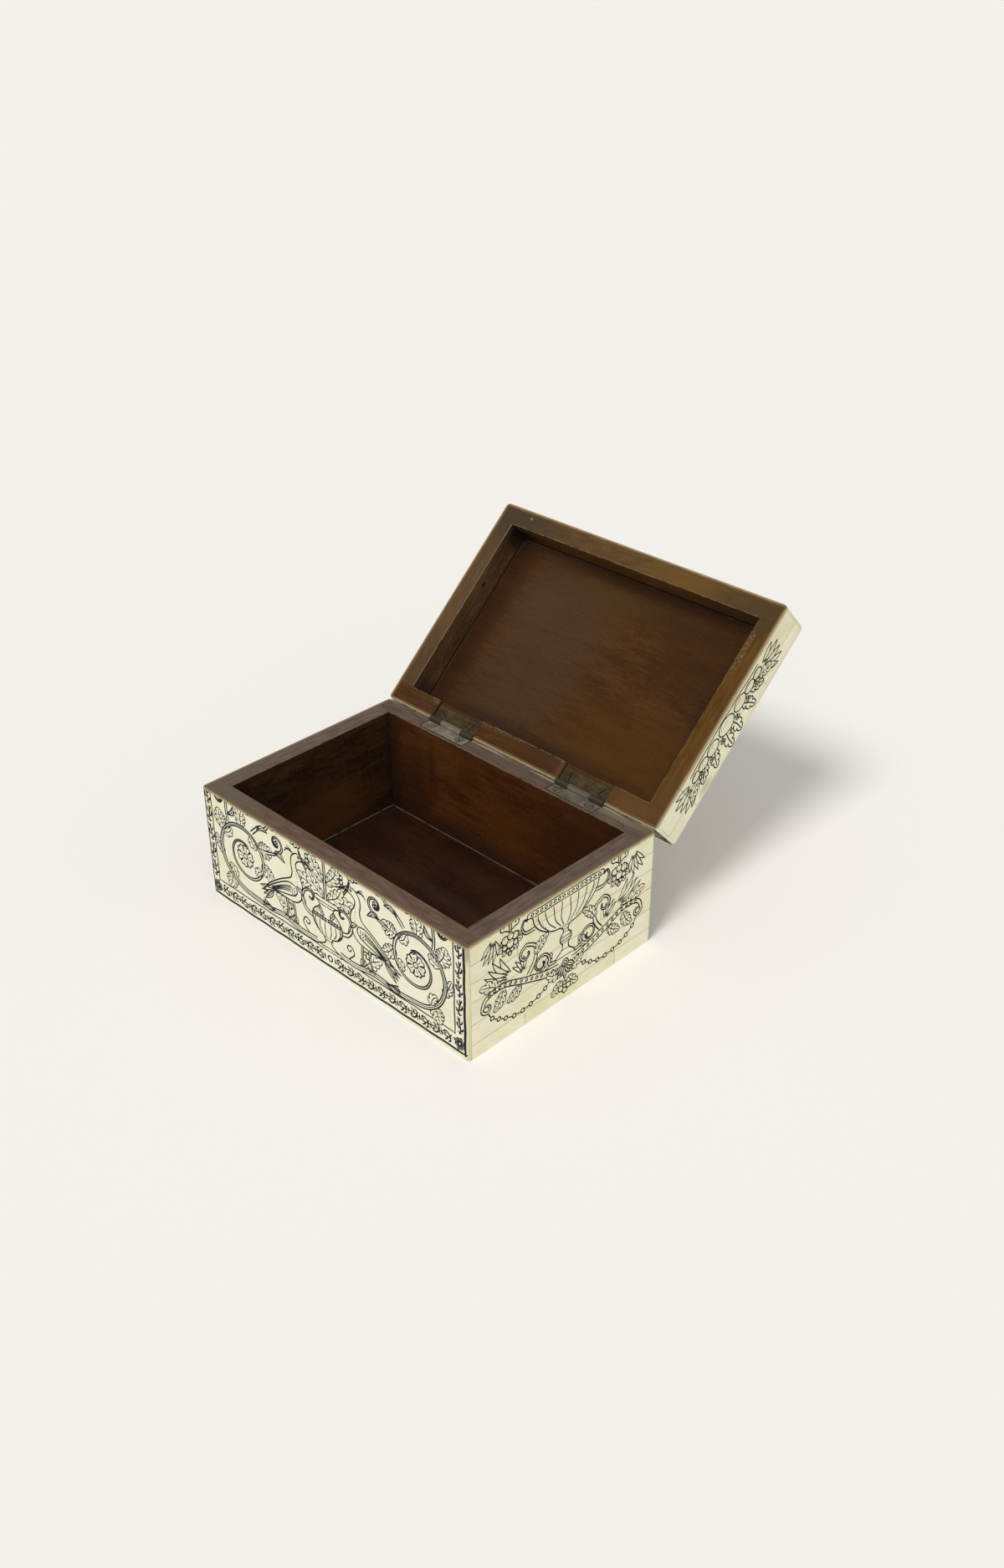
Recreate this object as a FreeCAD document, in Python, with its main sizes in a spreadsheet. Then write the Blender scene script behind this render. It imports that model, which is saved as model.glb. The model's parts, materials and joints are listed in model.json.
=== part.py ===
import FreeCAD, Part
import os
import re
import Sketcher

# Small hardwood storage box under a bone veneer, with its hinged lid standing open.
# The origin is the centre of the underside, +X runs right along the front, +Y to the back, +Z up.
# Lid pieces are drawn in their closed place and turned about the hinge axis by their Placement.

SIZES = {
    # the case and the lid, closed
    "box_width": 190.0,
    "box_depth": 127.5,
    "base_height": 64.5,
    "lid_height": 23.8,
    "closed_gap": 0.3,
    "open_angle": 137.5,
    "stop_spare_angle": 3.5,
    # veneer and boards
    "bone_thickness": 2.0,
    "board_thickness": 8.8,
    "seam_width": 0.12,
    "corner_radius": 2.4,
    "lid_edge_radius": 2.2,
    "floor_thickness": 4.8,
    "floor_rabbet": 4.0,
    "floor_fit": 0.1,
    "lid_recess_depth": 15.4,
    "lid_rabbet": 4.4,
    "lid_panel_fit": 0.2,
    # butt hinges
    "hinge_spacing": 91.4,
    "hinge_length": 31.8,
    "leaf_width": 8.9,
    "leaf_thickness": 0.9,
    "leaf_offset": 0.85,
    "mortise_fit": 0.1,
    "pin_radius": 0.8,
    "pin_fit": 0.03,
    "knuckle_gap": 0.15,
    "knuckle_room": 0.2,
    # countersunk slotted screws
    "screw_spacing": 21.0,
    "screw_setback": 5.3,
    "screw_length": 8.0,
    "screw_head_radius": 2.2,
    "screw_head_height": 0.85,
    "screw_shank_radius": 1.1,
    "screw_point_length": 2.4,
    "screw_slot_width": 0.55,
    "screw_slot_depth": 0.45,
    "screw_fit": 0.05,
    "pilot_spare_depth": 1.0,
    # how far a cut runs out past the stock
    "cut_overrun": 1.0,
}

# part of the hinge's length that the middle knuckle takes
MIDDLE_KNUCKLE_SHARE = 0.46

# heights of the veneer's seams and places of its butt joints, as shares of each face
BASE_ROW_SHARES = (0.13, 0.31, 0.51, 0.68, 0.835)
BASE_SIDE_JOINT_SHARES = ((0.28, 0.79), (0.62,), (0.36,), (0.7,), (0.24,), (0.83,))
BASE_BACK_JOINT_SHARES = ((0.22, 0.71), (0.45, 0.86), (0.3,), (0.58,), (0.38, 0.8), (0.5,))
LID_ROW_SHARES = (0.62,)
LID_SIDE_JOINT_SHARES = ((0.83,), (0.27, 0.83))
LID_BACK_JOINT_SHARES = ((0.5,), (0.34, 0.74))
LID_TOP_ROW_SHARES = (0.115, 0.245, 0.375, 0.5, 0.63, 0.755, 0.885)
LID_TOP_JOINT_SHARES = (
    (0.36, 0.78),
    (0.6,),
    (0.24, 0.68),
    (0.5,),
    (0.32, 0.82),
    (0.58,),
    (0.2, 0.7),
    (0.46,),
)

# angles in degrees
HALF_TURN = 180
FULL_TURN = 360

# how near, in millimetres, an edge must lie to a plane to count as in it
NEAR_ENOUGH = 1e-6

# lines and planes that several pieces share, written in named sizes
HALF_WIDTH = "(box_width / 2)"
HALF_DEPTH = "(box_depth / 2)"
CORE_HALF_WIDTH = "(box_width / 2 - bone_thickness)"
CORE_HALF_DEPTH = "(box_depth / 2 - bone_thickness)"
INNER_HALF_WIDTH = "(box_width / 2 - bone_thickness - board_thickness)"
INNER_HALF_DEPTH = "(box_depth / 2 - bone_thickness - board_thickness)"
LID_RIM = "(base_height + closed_gap)"
LID_TOP = "(base_height + closed_gap + lid_height)"
LID_CORE_TOP = "(base_height + closed_gap + lid_height - bone_thickness)"
LID_PANEL_BOTTOM = "(base_height + closed_gap + lid_recess_depth)"
LID_PANEL_THICKNESS = "(lid_height - bone_thickness - lid_recess_depth)"
KNUCKLE_RADIUS = "(leaf_offset + leaf_thickness)"
HALF_HINGE = "(hinge_length / 2)"
HALF_KNUCKLE = "(hinge_length * %s / 2)" % MIDDLE_KNUCKLE_SHARE

# the lid stops where its back face meets the back edge of the case, which sets the axis
AXIS_INSET = "(leaf_offset / tan((open_angle + stop_spare_angle) / 2))"
AXIS_DEPTH = "(box_depth / 2 - %s)" % AXIS_INSET
AXIS_HEIGHT = "(base_height + leaf_offset)"
LID_MORTISE_DEPTH = "(2 * leaf_offset + leaf_thickness - closed_gap)"

LID_SWING = "rotation(vector(1; 0; 0); -open_angle)"
LID_PLACE = "placement(vector(0; 0; 0); %s; vector(0; %s; %s))" % (LID_SWING, AXIS_DEPTH, AXIS_HEIGHT)

doc = FreeCAD.newDocument("storage_box")
sheet = doc.addObject("Spreadsheet::Sheet", "sizes")
for row, (alias, number) in enumerate(SIZES.items(), start=1):
    sheet.set("A%d" % row, alias)
    sheet.set("B%d" % row, str(number))
    sheet.setAlias("B%d" % row, alias)
doc.recompute()

ALIAS = re.compile(r"\b(" + "|".join(SIZES) + r")\b")
nodes = []


def from_sheet(text):
    return ALIAS.sub(r"sizes.\1", text)


def bind(thing, prop, text):
    thing.setExpression(prop, from_sheet(text))


def value(text):
    number = sheet.evalExpression(text)
    return float(getattr(number, "Value", number))


def new_body(name, place=None):
    body = doc.addObject("PartDesign::Body", name)
    body.Label = name
    if place:
        bind(body, "Placement", place)
    return body


def node(thing):
    nodes.append(thing)
    return thing


def new_sketch(body, name, role, offset="0"):
    """Make a sketch on one of the body's origin planes, moved along its normal."""
    sketch = body.newObject("Sketcher::SketchObject", body.Name + "_" + name)
    plane = [feature for feature in body.Origin.OriginFeatures if feature.Role == role][0]
    sketch.AttachmentSupport = [(plane, "")]
    sketch.MapMode = "FlatFace"
    bind(sketch, "AttachmentOffset.Base.z", offset)
    return sketch


def pin_point(sketch, geometry, point, place):
    for kind, text in zip(("DistanceX", "DistanceY"), place):
        number = sketch.addConstraint(Sketcher.Constraint(kind, -1, 1, geometry, point, value(text)))
        bind(sketch, "Constraints[%d]" % number, text)


def outline(sketch, corners):
    """Draw a closed outline of straight lines whose corners are written in named sizes."""
    points = [FreeCAD.Vector(value(x), value(y), 0) for x, y in corners]
    for start, end in zip(points, points[1:] + points[:1]):
        sketch.addGeometry(Part.LineSegment(start, end), False)
    for line in range(len(points)):
        sketch.addConstraint(Sketcher.Constraint("Coincident", line, 2, (line + 1) % len(points), 1))
    for line, place in enumerate(corners):
        pin_point(sketch, line, 1, place)
    return sketch


def rectangle(sketch, x_range, y_range):
    left, right = x_range
    near, far = y_range
    return outline(sketch, [(left, near), (right, near), (right, far), (left, far)])


def circle(sketch, place, radius):
    centre = FreeCAD.Vector(value(place[0]), value(place[1]), 0)
    number = sketch.addGeometry(Part.Circle(centre, FreeCAD.Vector(0, 0, 1), value(radius)), False)
    pin_point(sketch, number, 3, place)
    limit = sketch.addConstraint(Sketcher.Constraint("Radius", number, value(radius)))
    bind(sketch, "Constraints[%d]" % limit, radius)
    return sketch


def pad(sketch, name, length):
    body = sketch.getParentGeoFeatureGroup()
    feature = body.newObject("PartDesign::Pad", body.Name + "_" + name)
    feature.Profile = sketch
    bind(feature, "Length", length)
    sketch.Visibility = False
    return feature


def pocket(sketch, name, depth, upward):
    body = sketch.getParentGeoFeatureGroup()
    feature = body.newObject("PartDesign::Pocket", body.Name + "_" + name)
    feature.Profile = sketch
    bind(feature, "Length", depth)
    feature.Reversed = upward
    return feature


def mirror_across_width(body, features):
    """Repeat features on the other side of the box's centre line."""
    mirror = body.newObject("PartDesign::Mirrored", body.Name + "_mirror")
    mirror.Originals = features
    plane = [feature for feature in body.Origin.OriginFeatures if feature.Role == "YZ_Plane"][0]
    mirror.MirrorPlane = (plane, [""])
    body.Tip = mirror
    return mirror


def round_edges(body, name, wanted, radius):
    """Fillet those edges of the body's last feature that the test picks."""
    doc.recompute()
    base = body.Tip
    names = ["Edge%d" % index for index, edge in enumerate(base.Shape.Edges, 1) if wanted(edge)]
    fillet = body.newObject("PartDesign::Fillet", body.Name + "_" + name)
    fillet.Base = (base, names)
    bind(fillet, "Radius", radius)
    return fillet


def span(low, high):
    return "(%s) - (%s)" % (high, low)


def around(centre, half):
    return "%s - %s" % (centre, half), "%s + %s" % (centre, half)


def both_ways(half):
    return "-" + half, half


# Boards: long front and back boards, side boards butted between them, and a rabbet for the panel
def frame_board(name, x_range, y_range, bottom, top, rabbet, place):
    """One wall board with the rabbet that its floor or lid panel lies in."""
    body = new_body(name, place)
    stock = rectangle(new_sketch(body, "plan", "XY_Plane", bottom), x_range, y_range)
    pad(stock, "board", span(bottom, top))
    rabbet_x, rabbet_y, rabbet_bottom, rabbet_height = rabbet
    groove = rectangle(new_sketch(body, "rabbet_plan", "XY_Plane", rabbet_bottom), rabbet_x, rabbet_y)
    pocket(groove, "rabbet", rabbet_height, True)
    return node(body)


def frame(prefix, bottom, top, panel_bottom, panel_height, rabbet_depth, place=None):
    """The four wall boards of the case or of the lid, by side."""
    panel_x = both_ways("(%s + %s)" % (INNER_HALF_WIDTH, rabbet_depth))
    panel_y = both_ways("(%s + %s)" % (INNER_HALF_DEPTH, rabbet_depth))
    boards = {}
    for side, sign in (("front", "-1"), ("back", "1")):
        x_range = both_ways(CORE_HALF_WIDTH)
        y_range = ("%s * %s" % (sign, CORE_HALF_DEPTH), "%s * %s" % (sign, INNER_HALF_DEPTH))
        rabbet_y = (panel_y[0] if side == "front" else panel_y[1], y_range[1])
        rabbet = (panel_x, rabbet_y, panel_bottom, panel_height)
        name = "%s_%s_board" % (prefix, side)
        boards[side] = frame_board(name, x_range, y_range, bottom, top, rabbet, place)
    for side, sign in (("left", "-1"), ("right", "1")):
        x_range = ("%s * %s" % (sign, CORE_HALF_WIDTH), "%s * %s" % (sign, INNER_HALF_WIDTH))
        rabbet_x = (panel_x[0] if side == "left" else panel_x[1], x_range[1])
        rabbet = (rabbet_x, both_ways(INNER_HALF_DEPTH), panel_bottom, panel_height)
        name = "%s_%s_board" % (prefix, side)
        boards[side] = frame_board(name, x_range, both_ways(INNER_HALF_DEPTH), bottom, top, rabbet, place)
    return boards


def panel(name, bottom, thickness, rabbet_depth, fit, place=None):
    body = new_body(name, place)
    x_range = both_ways("(%s + %s - %s)" % (INNER_HALF_WIDTH, rabbet_depth, fit))
    y_range = both_ways("(%s + %s - %s)" % (INNER_HALF_DEPTH, rabbet_depth, fit))
    pad(rectangle(new_sketch(body, "plan", "XY_Plane", bottom), x_range, y_range), "board", thickness)
    return node(body)


def hinge_seats(body, rim, front_edge, mortise_depth, upward):
    """Cut the mortises for both hinges and the pilot holes for their screws."""
    sign = "+" if upward else "-"
    x_range = around("hinge_spacing / 2", "(hinge_length / 2 + mortise_fit)")
    y_range = (front_edge, "%s + cut_overrun" % CORE_HALF_DEPTH)
    plan = rectangle(new_sketch(body, "mortise_plan", "XY_Plane", rim), x_range, y_range)
    mortise = pocket(plan, "mortise", mortise_depth, upward)
    seat = "%s %s %s" % (rim, sign, mortise_depth)
    holes = new_sketch(body, "pilot_plan", "XY_Plane", seat)
    for side in "-+":
        place = ("hinge_spacing / 2 %s screw_spacing / 2" % side, "%s - screw_setback" % HALF_DEPTH)
        circle(holes, place, "screw_shank_radius + screw_fit")
    depth = "screw_length - leaf_thickness + pilot_spare_depth"
    pilots = pocket(holes, "pilots", depth, upward)
    mirror_across_width(body, [mortise, pilots])


base_boards = frame("base", "0", "base_height", "0", "floor_thickness", "floor_rabbet")
panel("base_floor_panel", "0", "floor_thickness", "floor_rabbet", "floor_fit")
leaf_front = "%s - leaf_width - mortise_fit" % AXIS_DEPTH
hinge_seats(base_boards["back"], "base_height", leaf_front, "leaf_thickness", False)

lid_panel_seat = (LID_PANEL_BOTTOM, LID_PANEL_THICKNESS, "lid_rabbet")
lid_boards = frame("lid", LID_RIM, LID_CORE_TOP, *lid_panel_seat, place=LID_PLACE)
panel("lid_top_panel", *lid_panel_seat, "lid_panel_fit", LID_PLACE)
lid_mortise_front = "%s - cut_overrun" % INNER_HALF_DEPTH
hinge_seats(lid_boards["back"], LID_RIM, lid_mortise_front, LID_MORTISE_DEPTH, True)


# Veneer: each slip is what its own block and the rounded outside of the case or lid have in common
def is_upright(edge):
    box = edge.BoundBox
    return box.ZLength > box.XLength + box.YLength


def rounded_block(name, bottom, height, notch_bottom, notch_depth, upward):
    """The veneered outside, rounded at its corners and notched for the hinge barrels."""
    body = new_body(name)
    plan = new_sketch(body, "plan", "XY_Plane", bottom)
    pad(rectangle(plan, both_ways(HALF_WIDTH), both_ways(HALF_DEPTH)), "block", height)
    round_edges(body, "corners", is_upright, "corner_radius")
    if upward:
        lowest = value(bottom) + value(height) - NEAR_ENOUGH
        round_edges(body, "top_edges", lambda edge: edge.BoundBox.ZMin > lowest, "lid_edge_radius")
    x_range = around("hinge_spacing / 2", "(hinge_length / 2 + mortise_fit)")
    y_range = (CORE_HALF_DEPTH, "%s + cut_overrun" % HALF_DEPTH)
    notch = rectangle(new_sketch(body, "notch_plan", "XY_Plane", notch_bottom), x_range, y_range)
    doc.recompute()
    mirror_across_width(body, [pocket(notch, "notch", notch_depth, upward)])
    return body


def slip(name, block, ranges, starts, ends):
    """One slip of veneer; starts and ends are its shares of the face along two of the axes."""
    box = doc.addObject("Part::Box", name + "_stock")
    for axis, side in (("x", "Length"), ("y", "Width"), ("z", "Height")):
        low, high = ranges[axis]
        start, end = starts.get(axis, 0), ends.get(axis, 1)
        low_seam = "seam_width / 2" if start > 0 else "0"
        high_seam = "seam_width / 2" if end < 1 else "0"
        face = span(low, high)
        bind(box, "Placement.Base." + axis, "%s + (%s) * %s + %s" % (low, face, start, low_seam))
        bind(box, side, "(%s) * (%s - %s) - %s - %s" % (face, end, start, low_seam, high_seam))
    piece = doc.addObject("Part::Common", name)
    piece.Base = block
    piece.Tool = box
    return piece


def veneer(name, block, ranges, place=None, across="z", along="x", row_shares=(), joint_shares=((),)):
    """Lay one face in rows of slips; each row of slips is one group."""
    levels = (0,) + row_shares + (1,)
    for row, (low, high) in enumerate(zip(levels, levels[1:]), start=1):
        label = "%s_row_%d" % (name, row) if row_shares else name
        ends = (0,) + joint_shares[row - 1] + (1,)
        pieces = []
        for number, (start, end) in enumerate(zip(ends, ends[1:]), start=1):
            shares_low = {across: low, along: start}
            shares_high = {across: high, along: end}
            pieces.append(slip("%s_slip_%d" % (label, number), block, ranges, shares_low, shares_high))
        group = doc.addObject("Part::Compound", label)
        group.Links = pieces
        if place:
            bind(group, "Placement", place)
        node(group)


def side_ranges(sign, z_range):
    x_range = ("-" + HALF_WIDTH, "-" + CORE_HALF_WIDTH) if sign < 0 else (CORE_HALF_WIDTH, HALF_WIDTH)
    return {"x": x_range, "y": both_ways(CORE_HALF_DEPTH), "z": z_range}


def end_ranges(sign, z_range):
    y_range = ("-" + HALF_DEPTH, "-" + CORE_HALF_DEPTH) if sign < 0 else (CORE_HALF_DEPTH, HALF_DEPTH)
    return {"x": both_ways(HALF_WIDTH), "y": y_range, "z": z_range}


base_notch_depth = "leaf_thickness + knuckle_room"
base_block = rounded_block("base_block", "0", "base_height", "base_height", base_notch_depth, False)
base_z = ("0", "base_height")
veneer("base_front_bone", base_block, end_ranges(-1, base_z))
base_rows = {"row_shares": BASE_ROW_SHARES, "joint_shares": BASE_SIDE_JOINT_SHARES}
for side, sign in (("left", -1), ("right", 1)):
    veneer("base_%s_bone" % side, base_block, side_ranges(sign, base_z), along="y", **base_rows)
base_back = {"row_shares": BASE_ROW_SHARES, "joint_shares": BASE_BACK_JOINT_SHARES}
veneer("base_back_bone", base_block, end_ranges(1, base_z), **base_back)

lid_notch_depth = "%s + knuckle_room" % LID_MORTISE_DEPTH
lid_block = rounded_block("lid_block", LID_RIM, "lid_height", LID_RIM, lid_notch_depth, True)
lid_z = (LID_RIM, LID_CORE_TOP)
veneer("lid_front_bone", lid_block, end_ranges(-1, lid_z), LID_PLACE)
lid_rows = {"row_shares": LID_ROW_SHARES, "joint_shares": LID_SIDE_JOINT_SHARES}
for side, sign in (("left", -1), ("right", 1)):
    veneer("lid_%s_bone" % side, lid_block, side_ranges(sign, lid_z), LID_PLACE, along="y", **lid_rows)
lid_back = {"row_shares": LID_ROW_SHARES, "joint_shares": LID_BACK_JOINT_SHARES}
veneer("lid_back_bone", lid_block, end_ranges(1, lid_z), LID_PLACE, **lid_back)
lid_top_ranges = {"x": both_ways(HALF_WIDTH), "y": both_ways(HALF_DEPTH), "z": (LID_CORE_TOP, LID_TOP)}
lid_top_rows = {"row_shares": LID_TOP_ROW_SHARES, "joint_shares": LID_TOP_JOINT_SHARES}
veneer("lid_top_bone", lid_block, lid_top_ranges, LID_PLACE, across="y", **lid_top_rows)


# Hinges: the leaf lies along -Y from an axis on X, its face with the screw heads turned up
def leaf_outline(has_middle):
    """Plan of a leaf: the knuckles it carries reach the axis, the others' places are cut back."""
    relief = "-(%s + knuckle_room)" % KNUCKLE_RADIUS
    if has_middle:
        half = "(%s - knuckle_gap / 2)" % HALF_KNUCKLE
        reach, rest = "0", relief
    else:
        half = "(%s + knuckle_gap / 2)" % HALF_KNUCKLE
        reach, rest = relief, "0"
    front = "-leaf_width"
    right = [(HALF_HINGE, front), (HALF_HINGE, rest), (half, rest), (half, reach)]
    left = [("-" + x, y) for x, y in reversed(right)]
    return right + left


def knuckle(body, name, start, length):
    ring = new_sketch(body, name + "_ring", "YZ_Plane", start)
    circle(ring, ("0", "0"), KNUCKLE_RADIUS)
    circle(ring, ("0", "0"), "pin_radius + pin_fit")
    return pad(ring, name, length)


def hinge_leaf(name, has_middle, place):
    body = new_body(name, place)
    plan = new_sketch(body, "plan", "XY_Plane", "-" + KNUCKLE_RADIUS)
    pad(outline(plan, leaf_outline(has_middle)), "plate", "leaf_thickness")
    if has_middle:
        half = "(%s - knuckle_gap / 2)" % HALF_KNUCKLE
        knuckle(body, "knuckle", "-" + half, "2 * " + half)
    else:
        half = "(%s + knuckle_gap / 2)" % HALF_KNUCKLE
        knuckle(body, "left_knuckle", "-" + HALF_HINGE, "%s - %s" % (HALF_HINGE, half))
        knuckle(body, "right_knuckle", half, "%s - %s" % (HALF_HINGE, half))
    holes = new_sketch(body, "screw_plan", "XY_Plane", "-leaf_offset")
    for sign in ("-", ""):
        circle(holes, (sign + "screw_spacing / 2", "%s - screw_setback" % AXIS_INSET), "screw_shank_radius")
    doc.recompute()
    hole = body.newObject("PartDesign::Hole", body.Name + "_holes")
    hole.Profile = holes
    doc.recompute()
    hole.ThreadType = "None"
    hole.DepthType = "ThroughAll"
    hole.HoleCutType = "Countersink"
    bind(hole, "Diameter", "2 * (screw_shank_radius + screw_fit)")
    bind(hole, "HoleCutDiameter", "2 * (screw_head_radius + screw_fit)")
    slope = "(screw_head_radius - screw_shank_radius) / screw_head_height"
    bind(hole, "HoleCutCountersinkAngle", "2 * atan(%s)" % slope)
    return node(body)


def hinge_pin(name, place):
    body = new_body(name, place)
    section = circle(new_sketch(body, "section", "YZ_Plane", "-" + HALF_HINGE), ("0", "0"), "pin_radius")
    pad(section, "rod", "hinge_length")
    return node(body)


def screw(name, place):
    """A slotted countersunk screw with a pointed end, its head top at its own origin."""
    body = new_body(name, place)
    profile = new_sketch(body, "profile", "XZ_Plane")
    corners = [("0", "0"), ("screw_head_radius", "0"), ("screw_shank_radius", "-screw_head_height")]
    corners += [("screw_shank_radius", "screw_point_length - screw_length"), ("0", "-screw_length")]
    outline(profile, corners)
    turned = body.newObject("PartDesign::Revolution", body.Name + "_turned")
    turned.Profile = profile
    turned.ReferenceAxis = (profile, ["V_Axis"])
    turned.Angle = FULL_TURN
    doc.recompute()
    slot_x = both_ways("(screw_head_radius + cut_overrun)")
    slot_y = both_ways("(screw_slot_width / 2)")
    slot = rectangle(new_sketch(body, "slot_plan", "XY_Plane"), slot_x, slot_y)
    pocket(slot, "slot", "screw_slot_depth", False)
    return body


# the way each screw's slot happens to point, in degrees
SLOT_TURNS = {"base": (38, -52, 84, 12), "lid": (70, -24, 58, 96)}

for leaf_set in ("base", "lid"):
    screws = []
    for hinge, sign in (("left", "-1"), ("right", "1")):
        centre = "vector(%s * hinge_spacing / 2; %s; %s)" % (sign, AXIS_DEPTH, AXIS_HEIGHT)
        turn = "rotation(vector(1; 0; 0); 0)"
        if leaf_set == "lid":
            turn = "%s * rotation(vector(0; 1; 0); %d)" % (LID_SWING, HALF_TURN)
        at_hinge = "placement(%s; %s)" % (centre, turn)
        hinge_leaf("%s_hinge_%s_leaf" % (hinge, leaf_set), leaf_set == "base", at_hinge)
        if leaf_set == "base":
            hinge_pin(hinge + "_hinge_pin", at_hinge)
        for end in ("-1", "1"):
            angle = SLOT_TURNS[leaf_set][len(screws)]
            x_place = "%s * screw_spacing / 2" % end
            seat = "vector(%s; %s - screw_setback; -leaf_offset)" % (x_place, AXIS_INSET)
            on_leaf = "placement(%s; rotation(vector(0; 0; 1); %d))" % (seat, angle)
            name = "%s_screw_%d" % (leaf_set, len(screws) + 1)
            screws.append(screw(name, "%s * %s" % (at_hinge, on_leaf)))
    group = doc.addObject("Part::Compound", leaf_set + "_hinge_screws")
    group.Links = screws
    node(group)

doc.recompute()

for thing in doc.Objects:
    if "Invalid" in thing.State or "Error" in thing.State:
        raise RuntimeError("%s did not recompute: %s" % (thing.Name, thing.State))
    if thing.TypeId in ("PartDesign::Pocket", "PartDesign::Hole"):
        if thing.Shape.Volume >= thing.BaseFeature.Shape.Volume:
            raise RuntimeError("%s cuts nothing" % thing.Name)

os.makedirs("parts", exist_ok=True)
for thing in nodes:
    shape = thing.Shape
    if shape.isNull() or not shape.isValid():
        raise RuntimeError("%s has no valid shape" % thing.Label)
    shape.exportStep("parts/%s.step" % thing.Label)
    print("%-26s solids %d  volume %9.2f mm3" % (thing.Label, len(shape.Solids), shape.Volume))
print("%d nodes, axis at y %.3f z %.3f mm" % (len(nodes), value(AXIS_DEPTH), value(AXIS_HEIGHT)))
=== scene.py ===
# %% [markdown]
# # A small hinged box, veneered in engraved bone
#
# The real box is a hardwood case. Its outside is faced with thin slips of bone, black line ornament is cut
# into the bone, and the lid swings back on two small brass butt hinges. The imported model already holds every
# piece at its real size, so this script only dresses it and never moves or resizes a piece.
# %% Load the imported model
import cmath
import json
import math

import bmesh
import bpy
from mathutils import Matrix, Vector


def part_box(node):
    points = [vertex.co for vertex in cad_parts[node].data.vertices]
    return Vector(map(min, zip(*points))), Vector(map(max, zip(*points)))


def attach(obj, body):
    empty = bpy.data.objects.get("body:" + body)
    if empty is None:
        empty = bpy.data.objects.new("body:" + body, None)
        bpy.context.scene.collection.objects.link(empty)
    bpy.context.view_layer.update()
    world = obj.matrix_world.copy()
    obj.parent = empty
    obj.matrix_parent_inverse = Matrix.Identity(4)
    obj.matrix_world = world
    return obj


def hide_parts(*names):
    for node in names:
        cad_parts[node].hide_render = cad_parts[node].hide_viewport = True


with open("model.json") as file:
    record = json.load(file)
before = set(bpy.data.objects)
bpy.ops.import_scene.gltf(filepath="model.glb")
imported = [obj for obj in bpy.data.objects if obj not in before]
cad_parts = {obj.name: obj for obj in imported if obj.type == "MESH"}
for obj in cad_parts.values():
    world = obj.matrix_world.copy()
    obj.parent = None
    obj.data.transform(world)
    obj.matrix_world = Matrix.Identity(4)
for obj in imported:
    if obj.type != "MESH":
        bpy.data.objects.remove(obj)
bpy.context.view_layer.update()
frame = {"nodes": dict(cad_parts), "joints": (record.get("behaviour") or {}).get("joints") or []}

MM = 0.001

# %% [markdown]
# ## The sizes that the rest follows
#
# The lid is stored standing open, so its faces are slanted. It is easier to think of the box closed: `swing`
# is the turn about the hinge that takes a closed lid to its open place, and `unswing` takes it back. Every
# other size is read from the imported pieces.
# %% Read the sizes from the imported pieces
hinge = next(joint for joint in frame["joints"] if joint["name"] == "lid_hinge")
hinge_axis = Vector(hinge["pos_m"])
open_angle = math.radians(hinge["range_deg"][1])
turn_open = Matrix.Rotation(-open_angle, 4, "X")
swing = Matrix.Translation(hinge_axis) @ turn_open @ Matrix.Translation(-hinge_axis)
unswing = swing.inverted()


def closed_box(node):
    """Lowest and highest corner of a lid piece, with the lid turned back to its closed place."""
    places = [unswing @ vertex.co for vertex in frame["nodes"][node].data.vertices]
    low = Vector([min(place[axis] for place in places) for axis in range(3)])
    high = Vector([max(place[axis] for place in places) for axis in range(3)])
    return low, high


front_low, front_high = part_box("base_front_bone")
HALF_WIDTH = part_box("base_right_bone_row_1")[1].x
HALF_DEPTH = -front_low.y
RIM = front_high.z
INNER_WIDTH = -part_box("base_left_board")[1].x
INNER_DEPTH = -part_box("base_front_board")[1].y
LID_RIM = closed_box("lid_front_bone")[0].z
LID_TOP = closed_box("lid_top_bone_row_1")[1].z
LID_PANEL = closed_box("lid_top_panel")[0].z
print("rim %.2f lid rim %.2f lid top %.2f mm" % (RIM / MM, LID_RIM / MM, LID_TOP / MM))

# %% [markdown]
# ## The studio
#
# The photograph has a plain pale sweep, one large soft light from the front and above, and white
# surroundings that fill the shadows. A sun with a wide angle makes the soft-edged shadow. A second and much
# wider one brightens the right side, and the world gives the rest of the fill. The floor is large enough to
# run out of the photograph's view on every side.
# %% Camera at the photograph's angle
PHOTO_HEIGHT = 1875
FOCAL_LENGTH_IN_PIXELS = 1894.07
SENSOR_WIDTH = 36
AZIMUTH, ELEVATION, ROLL = (math.radians(angle) for angle in (44.572, 32.003, -0.195))
CAMERA_DISTANCE, CAMERA_RIGHT, CAMERA_UP = 793.281 * MM, 38.366 * MM, 39.196 * MM

back = Vector((
    math.sin(AZIMUTH) * math.cos(ELEVATION),
    -math.cos(AZIMUTH) * math.cos(ELEVATION),
    math.sin(ELEVATION),
))
right = Vector((math.cos(AZIMUTH), math.sin(AZIMUTH), 0))
up = back.cross(right)
camera_data = bpy.data.cameras.new("camera")
camera_data.sensor_width = SENSOR_WIDTH
camera_data.lens = FOCAL_LENGTH_IN_PIXELS / PHOTO_HEIGHT * SENSOR_WIDTH
camera = bpy.data.objects.new("camera", camera_data)
bpy.context.scene.collection.objects.link(camera)
case_middle = Vector((0, 0, RIM / 2))
camera_place = case_middle + back * CAMERA_DISTANCE + right * CAMERA_RIGHT + up * CAMERA_UP
facing = Matrix((right, up, back)).transposed().to_4x4()
camera.matrix_world = Matrix.Translation(camera_place) @ facing @ Matrix.Rotation(ROLL, 4, "Z")
bpy.context.scene.camera = camera
print("lens %.2f mm at" % camera_data.lens, [round(number, 3) for number in camera_place])

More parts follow.
